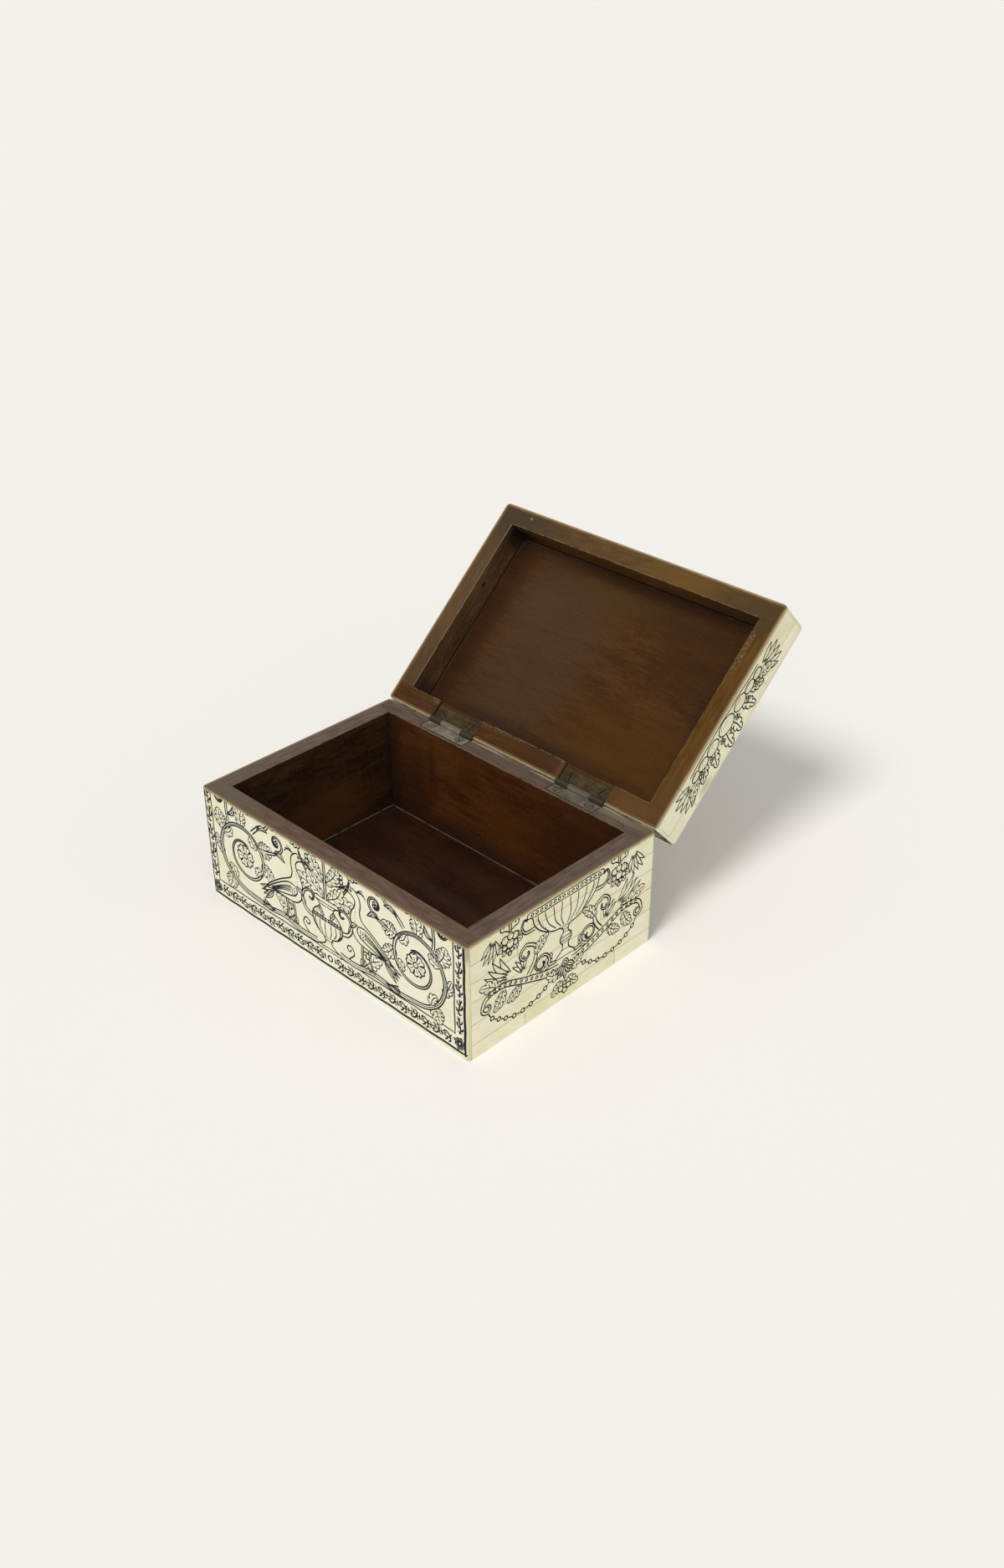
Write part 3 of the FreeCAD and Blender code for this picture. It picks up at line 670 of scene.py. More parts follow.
# Painted shade and light: the front's bone is darker and the sides' paler than one bone would be, evening out
# the key light that falls more on the front.
FRONT_BONE_PAINTED_DARKER = ((0.745, 0.735, 0.59), (0.695, 0.675, 0.455))
SIDE_BONE_PAINTED_PALER = ((0.865, 0.845, 0.63), (0.790, 0.755, 0.475))
LID_BONE = ((0.82, 0.80, 0.60), (0.745, 0.715, 0.46))


def outer_distance(finish, place):
    """How far inside the nearest outer side a point of the bone lies."""
    x, y, _ = split(finish, place)
    from_x = maths(finish, "SUBTRACT", HALF_WIDTH, maths(finish, "ABSOLUTE", x))
    from_y = maths(finish, "SUBTRACT", HALF_DEPTH, maths(finish, "ABSOLUTE", y))
    return maths(finish, "MINIMUM", from_x, from_y)


def handled_corners(finish, place, paint):
    """Yellower bone where the upright corners have been handled, and darkest near the rim."""
    x, y, z = split(finish, place)
    at_x = ramp(finish, maths(finish, "ABSOLUTE", x), HALF_WIDTH - 2.2 * MM, HALF_WIDTH - 1.4 * MM)
    at_y = ramp(finish, maths(finish, "ABSOLUTE", y), HALF_DEPTH - 2.2 * MM, HALF_DEPTH - 1.4 * MM)
    corner = times(finish, at_x, at_y)
    paint = blend(finish, times(finish, corner, 0.75), paint, HANDLED)
    upper = times(finish, corner, ramp(finish, z, RIM - 11 * MM, RIM - 5 * MM), 0.85)
    return blend(finish, upper, paint, HANDLED_MOST)


def drips(finish, place, paint):
    """Old varnish that has run from the rim in places."""
    z = split(finish, place)[2]
    reach = maths(finish, "MULTIPLY", patchy(finish, place, 190, 0.45, 0.75, 4), 2.2 * MM)
    run = ramp(finish, maths(finish, "ADD", z, reach), RIM - 0.1 * MM, RIM + 0.3 * MM)
    run = times(finish, run, patchy(finish, place, 900, 0.35, 0.6, 7), 0.75)
    return blend(finish, run, paint, DRIP)


def stained_rim(finish, place, paint, body):
    """A brown line under the rim, and the rim golden outside and brown inside; also the rim's mask."""
    rim_height, brown = RIM_STAIN[body]
    gold_width = GOLD_WIDTH[body]
    z = split(finish, place)[2]
    from_rim = maths(finish, "ABSOLUTE", maths(finish, "SUBTRACT", z, rim_height))
    paint = blend(finish, times(finish, ramp(finish, from_rim, 1.8 * MM, 0.3 * MM), 0.7), paint, UNDER_RIM)
    sway = maths(finish, "SUBTRACT", noise(finish, place, 150, detail=1, shift=1), 0.5)
    wander = maths(finish, "MULTIPLY", sway, 0.7 * MM)
    inside = maths(finish, "ADD", outer_distance(finish, place), wander)
    on_rim = near(finish, z, rim_height, 0.06 * MM, 0.12 * MM)
    paint = blend(finish, times(finish, on_rim, 0.85), paint, RIM_GOLD)
    rim_brown = times(finish, on_rim, ramp(finish, inside, gold_width * 0.4, gold_width))
    return blend(finish, rim_brown, paint, brown), on_rim


def dusty_rim(finish, place, paint, on_rim):
    """The back rim of the case, with streaks of pale dust and of dark dirt."""
    streaky = noise(finish, place, 700, (0.05, 1, 1), detail=4, roughness=0.6, shift=6)
    paint = blend(finish, on_rim, paint, BACK_RIM)
    paint = blend(finish, times(finish, on_rim, ramp(finish, streaky, 0.48, 0.60)), paint, BACK_RIM_DUST)
    return blend(finish, times(finish, on_rim, ramp(finish, streaky, 0.42, 0.34)), paint, BACK_RIM_DIRT)


def bone(name, on_lid, grain, shift, pale, warm, edits):
    """Cream bone between a pale and a warm colour, streaked and specked along its grain."""
    finish = new_finish(name)
    place = closed_place(finish, on_lid)
    clouds = noise(finish, place, 60, detail=5, roughness=0.6, shift=shift)
    streaks = noise(finish, place, 500, drawn_out(grain, 0.10), detail=5, roughness=0.6, shift=shift + 2)
    specks = noise(finish, place, 1500, drawn_out(grain, 0.2), detail=2, shift=shift + 6)
    tint = add(finish, "Attribute", {"attribute_name": "slip_tint"}).outputs["Fac"]
    tone = maths(finish, "ADD", ramp(finish, clouds, 0.30, 0.75), maths(finish, "SUBTRACT", tint, 0.3))
    paint = blend(finish, maths(finish, "MULTIPLY", tone, 1.0, clamp=True), pale, warm)
    paint = blend(finish, times(finish, ramp(finish, streaks, 0.5, 0.8), 0.25), paint, STREAK)
    paint = blend(finish, times(finish, ramp(finish, specks, 0.66, 0.76), 0.35), paint, SPECK)
    for edit in edits:
        paint = edit(finish, place, paint)
    paint, on_rim = stained_rim(finish, place, paint, "lid" if on_lid else "case")
    if not on_lid and "back" in name:
        paint = dusty_rim(finish, place, paint, on_rim)
    gloss = stretched(finish, clouds, 0.3, 0.7, 0.38, 0.52)
    return finished(finish, paint, gloss, 0.25, streaks, 0.12)


print("bone in three pairs of colours, for the front, the sides and the lid")

# %% Grime for the seams
GRIME = (0.37, 0.30, 0.18)
GRIME_PALE = (0.56, 0.50, 0.32)
grime = new_finish("seam_grime")
grime_cloud = noise(grime, closed_place(grime, False), 260, detail=4, shift=3)
grime_paint = blend(grime, ramp(grime, grime_cloud, 0.35, 0.65), GRIME, GRIME_PALE)
for socket_name, value in (("Base Color", grime_paint), ("Roughness", 0.7), ("Specular IOR Level", 0.1)):
    fill(grime, shader_of(grime).inputs[socket_name], value)
print("grime for the seams")

# %% Slips of the case and the lid
SLIP_EASE = 0.10 * MM
EDGE_REACH = 4 * SLIP_EASE
ROW_TINT, SLIP_TINT, MOST_TINT = 0.37, 0.61, 0.6
draw_in = Matrix.Diagonal((1 - BONE_INSET / HALF_WIDTH, 1 - BONE_INSET / HALF_DEPTH, 1, 1))
lid_height = LID_TOP - LID_RIM
sink_top = (
    Matrix.Translation((0, 0, LID_RIM))
    @ Matrix.Diagonal((1, 1, 1 - BONE_INSET / lid_height, 1))
    @ Matrix.Translation((0, 0, -LID_RIM))
)
draw_in_lid = swing @ sink_top @ draw_in @ unswing


def islands(mesh):
    """The separate solids of a merged mesh, as lists of vertices, in the order of their lowest corners."""
    left = set(mesh.verts)
    found = []
    while left:
        group, waiting = [], [left.pop()]
        while waiting:
            vertex = waiting.pop()
            group.append(vertex)
            for edge in vertex.link_edges:
                other = edge.other_vert(vertex)
                if other in left:
                    left.remove(other)
                    waiting.append(other)
        found.append(group)

    def lowest_corner(group):
        return tuple(min(vertex.co[axis] for vertex in group) for axis in range(3))

    return sorted(found, key=lowest_corner)


def is_outer_edge(place):
    """Whether a closed place is on an outer edge of the whole box, where no seam runs."""
    on_sides = [
        abs(abs(place.x) - HALF_WIDTH) < EDGE_REACH,
        abs(abs(place.y) - HALF_DEPTH) < EDGE_REACH,
        min(abs(place.z - height) for height in (0, RIM, LID_RIM, LID_TOP)) < EDGE_REACH,
    ]
    return sum(on_sides) > 1


def bone_piece(node, order):
    """One packed row of bone: drawn in, tinted slip by slip, and with grime on its eased seams."""
    on_lid = node.startswith("lid_")
    grain = "y" if "_left_" in node or "_right_" in node else "x"
    mesh = packed_mesh(node)
    bmesh.ops.transform(mesh, matrix=draw_in_lid if on_lid else draw_in, verts=mesh.verts)
    tint = mesh.verts.layers.float.new("slip_tint")
    for number, group in enumerate(islands(mesh)):
        for vertex in group:
            vertex[tint] = (order * ROW_TINT + number * SLIP_TINT) % 1 * MOST_TINT
    for face in ease(mesh, SLIP_EASE):
        place = face.calc_center_median()
        if on_lid:
            place = unswing @ place
        on_rim = abs(place.z - (LID_RIM if on_lid else RIM)) < 2 * SLIP_EASE
        if not on_rim and not is_outer_edge(place):
            face.material_index = 1
    # The sides take the bone painted paler and the front the bone painted darker, to even out the key light.
    tones, edits = SIDE_BONE_PAINTED_PALER, [handled_corners, drips]
    if on_lid:
        tones, edits = LID_BONE, [colour_patch((95, 30.5, 84), (3, 5.0, 2.6), SMUDGE, 0.5, soft=0.7, ragged=0.5)]
    elif node == "base_front_bone":
        tones = FRONT_BONE_PAINTED_DARKER
    finish = bone(node + "_finish", on_lid, grain, order * 1.7, *tones, edits)
    piece = new_piece(node + "_dressed", mesh, finish, "lid" if on_lid else "box", [node])
    piece.data.materials.append(grime)
    return piece


slips = [bone_piece(node, order) for order, node in enumerate(sorted(frame["nodes"])) if "_bone" in node]
print(len(slips), "rows of bone")

# %% [markdown]
# ## Drawing the ornament
#
# Every line of the ornament is a stroke: a row of points on a flat face, in millimetres, and the width of
# the pen. A point is a complex number, because turning and moving are then one multiplication and one sum. A
# stroke whose pen is None is a blank patch: it hides what was drawn before it, so a bird can stand in front
# of a leaf.
# %% Strokes and blank patches
c = complex
FINE, PEN, FRAME = 0.575, 0.77, 1.35
HAND_WANDER = 0.13


def smooth(points, closed=False):
    """Points along a smooth line through the given ones."""
    count = len(points)
    path = []
    for index in range(count if closed else count - 1):
        start, end = points[index], points[(index + 1) % count]
        before = points[index - 1] if closed or index else 2 * start - end
        after = points[(index + 2) % count] if closed or index + 2 < count else 2 * end - start
        steps = max(2, round(abs(end - start) / 0.9))
        for step in range(steps):
            t = step / steps
            pull, bend = end - before, 2 * before - 5 * start + 4 * end - after
            path.append(start + (pull * t + bend * t**2 + (3 * start - before - 3 * end + after) * t**3) / 2)
    return path + [path[0] if closed else points[-1]]


def line(*points, pen=PEN):
    return [(smooth(points), pen)]


def rule(start, end, pen=PEN):
    """A straight ruled line, carried on by half the pen so that corners close."""
    ahead = (end - start) / abs(end - start)
    start, end = start - ahead * pen / 2, end + ahead * pen / 2
    steps = math.ceil(abs(end - start) / 4)
    return [([start + (end - start) * step / steps for step in range(steps + 1)], pen)]


def blank(*points):
    """A closed patch that hides what was drawn before it."""
    return [(smooth(points, closed=True), None)]


def ring(centre, radius, pen=PEN, filled=True):
    around = [centre + cmath.rect(radius, step * math.pi / 4) for step in range(8)]
    return (blank(*around) if filled else []) + [(smooth(around, closed=True), pen)]


def dot(centre, size=0.5):
    return [([centre - size / 4, centre + size / 4], size)]


def placed(strokes, at=0, turn=0.0, size=1.0):
    spin = cmath.rect(size, math.radians(turn))
    return [([at + spin * point for point in points], pen) for points, pen in strokes]


def turned_over(strokes, middle):
    return [([c(2 * middle - point.real, point.imag) for point in points], pen) for points, pen in strokes]


def mirrored(strokes, middle=0):
    """The strokes and their mirror image about an upright line."""
    return strokes + turned_over(strokes, middle)


def is_inside(point, patch):
    hit = False
    for first, second in zip(patch, patch[1:] + patch[:1]):
        if (first.imag > point.imag) != (second.imag > point.imag):
            share = (point.imag - first.imag) / (second.imag - first.imag)
            hit ^= point.real < first.real + share * (second.real - first.real)
    return hit


def keep(strokes, wanted):
    """The parts of the strokes whose points are wanted, cut where that changes."""
    kept = []
    for points, pen in strokes:
        flags = [wanted(point) for point in points]
        run = []
        for index, (point, flag) in enumerate(zip(points, flags)):
            if index and flag != flags[index - 1]:
                good, bad = (points[index - 1], point) if flags[index - 1] else (point, points[index - 1])
                for _ in range(5):
                    half = (good + bad) / 2
                    good, bad = (half, bad) if wanted(half) else (good, half)
                run.append(good)
            if flag:
                run.append(point)
            elif run:
                kept.append((run, pen))
                run = []
        if run:
            kept.append((run, pen))
    return [(points, pen) for points, pen in kept if len(points) > 1]


def layered(strokes):
    """Draw in order, letting each blank patch hide what lies under it."""
    drawn = []
    for points, pen in strokes:
        if pen is not None:
            drawn.append((points, pen))
            continue
        left, right = min(p.real for p in points), max(p.real for p in points)
        low, high = min(p.imag for p in points), max(p.imag for p in points)
        under, clear = [], []
        for stroke in drawn:
            near_patch = any(left < p.real < right and low < p.imag < high for p in stroke[0])
            (under if near_patch else clear).append(stroke)
        drawn = clear + keep(under, lambda point: not is_inside(point, points))
    return drawn


def by_hand(point):
    """A point moved by the small slow wander of a hand-held graver."""
    x, y = point.real, point.imag
    sideways = math.sin(0.37 * y + 1.3 * math.sin(0.11 * x))
    upward = math.sin(0.33 * x + math.sin(0.13 * y))
    return point + HAND_WANDER * c(sideways, upward)


print("pens of %.2f, %.2f and %.2f mm" % (FINE, PEN, FRAME))

# %% [markdown]
# ## A stock of leaves, stems and beads
#
# Old engravers worked from a stock of small parts that they put together afresh for each piece. This is
# ours: stems with two outlines, lobed and slim leaves, tendrils, rosettes, berries, feathers, beads and
# hatching.
# %% Stems, leaves and tendrils
def spiral_points(centre, start_radius, end_radius, start_turn, sweep):
    """Points on a spiral; the turns are in degrees, and a negative sweep runs clockwise."""
    steps = max(6, round(abs(sweep) / 28))
    around = []
    for step in range(steps + 1):
        radius = start_radius + (end_radius - start_radius) * (step / steps) ** 0.9
        around.append(centre + cmath.rect(radius, math.radians(start_turn + sweep * step / steps)))
    return around


def stem(points, thick, thin, pen=PEN, rib=False):
    """Two outlines on either side of a path, drawing together towards its end."""
    path = smooth(points)
    left, right = [], []
    for index, point in enumerate(path):
        ahead = path[min(index + 1, len(path) - 1)] - path[max(index - 1, 0)]
        half = (thick + (thin - thick) * index / (len(path) - 1)) / 2
        across = 1j * ahead / (abs(ahead) or 1) * half
        left.append(point + across)
        right.append(point - across)
    patches = []
    for index in range(0, len(path) - 1, 6):
        patches.append((left[index:index + 7] + right[index:index + 7][::-1], None))
    middle = [(path[:len(path) * 2 // 3], pen * 0.6)] if rib else []
    return patches + [(left, pen), (right, pen)] + middle


def leaf(base, tip, width, bend=0.0, lobes=4, pen=FINE, veins=True):
    """A lobed leaf along a bent spine: two scalloped sides, a rib and short veins."""
    middle = (base + tip) / 2 + 1j * (tip - base) * bend

    def spine(t):
        return (1 - t) ** 2 * base + 2 * t * (1 - t) * middle + t * t * tip

    def edge(t, share, side):
        ahead = (1 - t) * (middle - base) + t * (tip - middle)
        half = width / 2 * math.sin(math.pi * min(0.97, 0.1 + 0.87 * t)) ** 0.8
        return spine(t) + side * 1j * ahead / abs(ahead) * half * share

    sides, inside = [], line(base, spine(0.5), spine(0.92), pen=pen)
    for side in (1, -1):
        outline = []
        for lobe in range(lobes):
            t, span = lobe / lobes, 1 / lobes
            last = lobe == lobes - 1
            shoulder = edge(t + (0.9 if last else 1.06) * span, 0.75 if last else 1.0, side)
            end = tip if last else edge(t + 0.9 * span, 0.5, side)
            swell = (edge(t, 0.5, side), edge(t + 0.3 * span, 0.95, side), edge(t + 0.72 * span, 1.12, side))
            outline += line(*swell, shoulder, end, pen=pen)
            if veins and not last:
                inside += line(spine(t + 0.12 * span), edge(t + 0.66 * span, 0.72, side), pen=pen * 0.8)
        sides.append(outline)
    border = [point for points, _ in sides[0] for point in points]
    border += [point for points, _ in reversed(sides[1]) for point in reversed(points)]
    return [(border, None)] + sides[0] + sides[1] + inside


def slim_leaf(base, tip, width, bend=0.0, pen=PEN):
    middle = (base + tip) / 2 + 1j * (tip - base) * bend
    across = 1j * (tip - base) / abs(tip - base) * width / 2
    sides = line(base, middle + across, tip, pen=pen) + line(base, middle - across, tip, pen=pen)
    patch = [(sides[0][0] + sides[1][0][::-1], None)]
    return patch + sides + line(base, middle, base * 0.2 + tip * 0.8, pen=pen * 0.75)


def curl(base, middle, centre, radius, hand=1, turns=1.2, pen=PEN):
    """A tendril that leaves a stem and winds up round its own end."""
    start = math.degrees(cmath.phase(middle - centre))
    winding = spiral_points(centre, radius, radius * 0.22, start + hand * 30, hand * 360 * turns)
    return line(base, middle, *winding, pen=pen)


print("stems, leaves and tendrils drawn from their paths")

# %% Flowers, fruit, feathers, beads and shading
PETAL = ((0.32, -0.3), (0.7, -0.74), (0.97, -0.36), (0.86, 0), (0.97, 0.36), (0.7, 0.74), (0.32, 0.3))
DEGREES_IN_A_RADIAN = 57


def rosette(centre, radius, petals=6, turn=0.0, pen=PEN):
    """A flower seen from the front: notched petals round a small ring."""
    strokes = ring(centre, radius * 0.9, pen)[:1]
    for petal in range(petals):
        out = cmath.rect(radius, math.radians(turn) + 2 * math.pi * petal / petals)
        half = 1j * out * math.tan(math.pi / petals)
        strokes += line(*[centre + out * reach + half * wide for reach, wide in PETAL], pen=pen)
        strokes += line(centre + out * 0.38, centre + out * 0.68, pen=pen * 0.75)
    return strokes + ring(centre, radius * 0.24, pen) + dot(centre, 0.6)


def berry(centre, size, pen=PEN):
    """A round fruit with a glint at its upper left."""
    glint = line(centre + size * c(-0.45, 0.35), centre + size * c(0.1, 0.55), pen=pen * 0.6)
    return ring(centre, size, pen) + glint


def fruit(centre, size, count=3, turn=90.0, pen=PEN):
    strokes = []
    for number in range(count):
        out = cmath.rect(size * 0.95, math.radians(turn + 360 * number / count))
        strokes += berry(centre + out, size * 0.8, pen)
    return strokes


def feathers(root, aim, length, spread, count, pen=FINE, bend=0.12):
    """A fan of long narrow feathers, each of two lines."""
    strokes = []
    width = length * spread / DEGREES_IN_A_RADIAN / count * 0.8
    for feather in range(count):
        share = feather / (count - 1) - 0.5
        reach = length * (1 - 0.5 * share * share + 0.06 * (feather % 2))
        out = cmath.rect(reach, math.radians(aim + spread * share))
        strokes += slim_leaf(root + out * 0.26, root + out, width, bend, pen)[:3]
    return strokes


def beads(points, size, gap=3.4, pen=PEN, on_line=True):
    """Round beads along a path, on a drawn line or without it."""
    path = smooth(points)
    strokes = [(path, pen)] if on_line else []
    since = 0
    for before, after in zip(path, path[1:]):
        since += abs(after - before)
        if since >= size * gap:
            strokes += ring(after, size, pen, on_line)
            since = 0
    return strokes


def hatch(start, end, slant, count, pen=FINE * 0.8):
    """Short parallel strokes that shade the stretch between two points."""
    strokes = []
    for number in range(count):
        root = start + (end - start) * number / (count - 1)
        strokes.append(([root, root + slant * (0.75 + 0.25 * math.sin(2.1 * number))], pen))
    return strokes


print("stock of parts ready")

# %% [markdown]
# ## Borders
#
# The front has the border that such boxes often have: a heavy ruled frame, a running vine along the long
# bands, sprigs up the short ones, and a dense knot of leaves where the bands meet.
# %% Sprigs, vines and the frame
SPRIG_SPACING = 11.1


def sprig(height, hand, pen=PEN):
    """An upright sprig: a swayed stem, hooked leaves that alternate, a crossbar and a bud."""
    def at(x, share):
        return c(hand * x, height * share)

    strokes = line(at(-0.3, 0), at(0.45, 0.3), at(-0.35, 0.66), at(0.1, 1), pen=pen * 1.2)
    for weight, *leaflet in (
        (1.35, (0.3, 0.24), (1.5, 0.26), (2.1, 0.42)),
        (1.35, (0.2, 0.40), (-1.1, 0.40), (-1.9, 0.60), (-1.2, 0.66)),
        (1.2, (-0.2, 0.62), (1.0, 0.66), (1.7, 0.86)),
        (1.2, (-0.1, 0.78), (-0.9, 0.82), (-1.4, 1.0)),
    ):
        strokes += line(*[at(x, share) for x, share in leaflet], pen=pen * weight)
    return strokes + line(at(-1.5, 0.14), at(0, 0.08), at(1.4, 0.12), pen=pen) + dot(at(0.1, 0.94), 0.9)


def vine(start, end, unit=7.6, sway=1.6, pen=FINE * 1.04):
    """A running vine: a waved stem with curled leaves on alternate sides and crossbars between."""
    count = max(2, round(abs(end - start) / unit))
    along = (end - start) / count
    across = 1j * along / abs(along) * sway
    wave = []
    for half in range(2 * count + 1):
        wave.append(start + along * half / 2 + across * 0.4 * (0, 1, 0, -1)[half % 4])
    strokes = line(*wave, pen=pen * 1.3)
    for number in range(count):
        up = across * (1 if number % 2 else -1)
        root = start + along * (number + 0.16) - up * 0.2
        for weight, *leaflet in (
            (1.6, (0, 0), (0.1, 1.0), (0.34, 1.65), (0.56, 1.2), (0.46, 0.6), (0.32, 0.85)),
            (1.65, (0.06, 0), (-0.04, -1.0), (0.18, -1.75)),
            (1.65, (0.24, 0), (0.28, -0.9), (0.50, -1.6)),
            (1.65, (0.02, 0.3), (-0.12, 1.5)),
        ):
            strokes += line(*[root + along * x + up * y for x, y in leaflet], pen=pen * weight)
        cross = start + along * (number + 0.9)
        strokes += line(cross - across * 1.1, cross + across * 1.1, pen=pen * 1.3)
        strokes += dot(cross + along * 0.1 + up * 1.2, 0.9)
    return strokes


def knot_of_leaves(centre, size, pen=FINE * 1.2):
    """A dense dark cluster of leaves for a corner or a middle."""
    strokes = []
    for number in range(8):
        out = cmath.rect(size * (1.0 if number % 2 else 0.85), math.radians(22 + 45 * number))
        strokes += slim_leaf(centre + out * 0.2, centre + out, size * 0.42, 0.1, pen)
    return strokes + ring(centre, size * 0.22, pen)


def framed(wide, high, left=1.9, right=2.2, low=1.5, top=2.4, bands=(4.7, 6.4, 9.5, 7.6)):
    """The border of a face and the middle of its field; bands are its left, right, low and top widths."""
    outer = (c(left, low), c(wide - right, high - top))
    inner = (outer[0] + c(bands[0], bands[2]), outer[1] - c(bands[1], bands[3]))
    strokes, rules = [], []
    for (low_left, top_right), pen in ((outer, FRAME), (inner, PEN)):
        low_right, top_left = c(top_right.real, low_left.imag), c(low_left.real, top_right.imag)
        corners = (low_left, low_right, top_right, top_left, low_left)
        for start, end in zip(corners, corners[1:]):
            past = (end - start) / abs(end - start) * pen * 0.3
            rules += rule(start - past, end + past, pen)
    field = inner[1] - inner[0]
    middle = (inner[0].real + inner[1].real) / 2
    count = round(field.imag / SPRIG_SPACING)
    step = (field.imag - 1) / count
    for x in ((outer[0].real + inner[0].real) / 2, (outer[1].real + inner[1].real) / 2):
        for number in range(count):
            foot = inner[0].imag + 0.9 + step * number
            strokes += placed(sprig(step * 0.92, 1 - number % 2 * 2), c(x, foot))
    for y in ((outer[0].imag + inner[0].imag) / 2, (outer[1].imag + inner[1].imag) / 2):
        strokes += vine(c(inner[0].real + 2, y), c(middle - 3, y))
        strokes += vine(c(inner[1].real - 2, y), c(middle + 3, y))
        for x in (left + 3.0, outer[1].real - 3.4):
            strokes += knot_of_leaves(c(x, y), 4.2)
        strokes += ring(c(middle, y), 1.6, FINE * 1.4) + dot(c(middle, y), 0.8)
    return strokes + rules, middle


print("border ready")

# %% [markdown]
# ## Scrolls, birds and vessels
#
# The figures of the field are drawn once each, about a handy origin, and placed and mirrored later. Where
# two of them touch, the one that is drawn last stands in front.
# %% A crane and a songbird
def crane(pen=PEN):
    """A standing bird with a long neck, facing +x, its feet at the origin."""
    tail, chest, crown, bill = c(-21, 7.5), c(9.2, 21), c(9.6, 43.2), c(19.5, 38.2)
    belly = [chest, c(9.4, 17.5), c(6.8, 14), c(2.5, 12.2), c(-3, 11.8), c(-9, 12.2), c(-15, 10.5), tail]
    back_line = [
        tail, c(-17.5, 12.5), c(-12.5, 17.0), c(-7, 21.2), c(-1.5, 24.2), c(2.2, 26.6),
        c(3.6, 30.5), c(3.0, 35.5), c(3.8, 39.8), c(6.6, 42.6), crown,
    ]
    throat = [
        chest, c(10.8, 25), c(9.6, 29.4), c(7.2, 33.2),
        c(6.8, 36.4), c(8.4, 38.6), c(10.4, 39.4), c(11.4, 40.2),
    ]
    upper_bill = [crown, c(12.2, 42.4), c(14.5, 41.2), bill]
    lower_bill = [throat[-1], c(14.2, 40.0), bill]
    shoulder, wing_tip = c(5.4, 22.6), c(-18.5, 10.8)
    strokes = []
    for root, foot in ((c(2.5, 13), c(2.8, 0)), (c(-2.2, 13), c(-3.6, 0.4))):
        strokes += stem([root, (root + foot) / 2 + 0.8, foot], 1.3, 0.8, pen * 0.85)
        for toe in (2.8, 1.6, -1.8):
            strokes += line(foot, foot + c(toe * 0.6, 0.1), foot + c(toe, -0.9), pen=pen)
    for number in range(4):
        plume = (c(-12, 14.5 - number * 0.6), c(-24 + number * 1.2, 9.5 - number * 2.2))
        strokes += slim_leaf(*plume, 2.2, 0.06, pen * 0.8)
    outline = smooth(belly)[::-1] + smooth(throat)[1:] + [crown] + smooth(back_line)[::-1]
    strokes.append((outline, None))
    for stretch in (belly, back_line, throat, upper_bill, lower_bill):
        strokes += line(*stretch, pen=pen)
    strokes += line(c(12.4, 41.4), c(18.6, 38.8), pen=pen * 0.6)
    strokes += ring(c(9.4, 41.3), 0.6, pen * 0.8, False) + dot(c(9.4, 41.3), 0.5)
    for number in range(3):
        bend, tip = c(3.0 - number * 0.8, 44.0 - number * 0.6), c(0.4 - number, 44.6 - number * 2.0)
        strokes += line(c(5.4, 42.0), bend, tip, pen=pen * 0.8)
    strokes += line(shoulder, c(0.5, 22.8), c(-5.0, 20.5), c(-11.5, 16.2), wing_tip, pen=pen)
    strokes += line(shoulder, c(6.2, 19.4), c(3.6, 16.2), c(-2.5, 14.2), c(-9.5, 13.0), wing_tip, pen=pen)
    for number in range(4):
        share = number / 3
        quill = (
            c(1.6 - share, 21.0 - share * 3.6),
            c(-5.0 - share * 0.6, 18.4 - share * 2.8),
            c(-14.5 + share * 1.2, 12.9 - share * 0.8),
        )
        strokes += line(*quill, pen=pen * 0.75)
    for row in range(3):
        for scale in range(3 - row // 2):
            at = c(4.4 - row * 1.7, 21.2 - scale * 1.9 - row * 0.3)
            strokes += line(at, at + c(-0.9, -0.9), at + c(0.1, -1.7), pen=pen * 0.65)
    return strokes + hatch(c(8.2, 22.5), c(6.9, 32.0), c(-1.2, 0.5), 6, pen * 0.65)


def songbird(pen=PEN):
    """A small perched bird facing +x, its feet at the origin."""
    bill, top_tail, low_tail = c(8.8, 6.8), c(-9.5, 1.8), c(-9.8, -0.6)
    top = [bill, c(6.8, 8.4), c(4.8, 9.0), c(3.0, 8.2), c(0.6, 6.2), c(-3.6, 4.4), top_tail]
    low = [bill, c(6.5, 6.2), c(6.0, 4.0), c(3.8, 1.6), c(0.4, 0.9), c(-3.8, 1.2), low_tail]
    strokes = line(c(0.8, 1.4), c(0.4, -0.9), pen=pen) + line(c(2.4, 1.4), c(2.3, -0.8), pen=pen)
    strokes += [(smooth(top) + smooth(low)[::-1], None)]
    strokes += line(*top, pen=pen) + line(*low, pen=pen) + line(top_tail, low_tail, pen=pen)
    strokes += line(c(2.6, 5.8), c(-0.6, 4.9), c(-5.8, 2.0), pen=pen * 0.8)
    strokes += line(c(2.6, 5.8), c(2.2, 3.4), c(-1.0, 2.2), c(-5.8, 2.0), pen=pen * 0.8)
    strokes += hatch(c(1.2, 4.4), c(0.6, 3.0), c(-3.4, -1.1), 3, pen * 0.7)
    return strokes + hatch(c(-6.2, 1.6), c(-6.4, 0.6), c(-2.8, -0.6), 2, pen * 0.7) + dot(c(5.2, 7.4), 0.7)


print("a crane of %d strokes and a songbird of %d" % (len(crane()), len(songbird())))

# %% An urn and a fruit dish
def vessel(profile, bands, pen=PEN):
    """One side of a turned vessel, from its foot up, with lines across at the given heights and reaches."""
    half = line(*profile, pen=pen)
    for height, reach in bands:
        half += rule(c(0, height), c(reach, height), pen * 0.9)
    return half


def hide_behind(profile):
    """A blank patch as wide as the vessel with this profile."""
    edge = smooth(profile)
    return [(edge + [-point.conjugate() for point in edge[::-1]], None)]


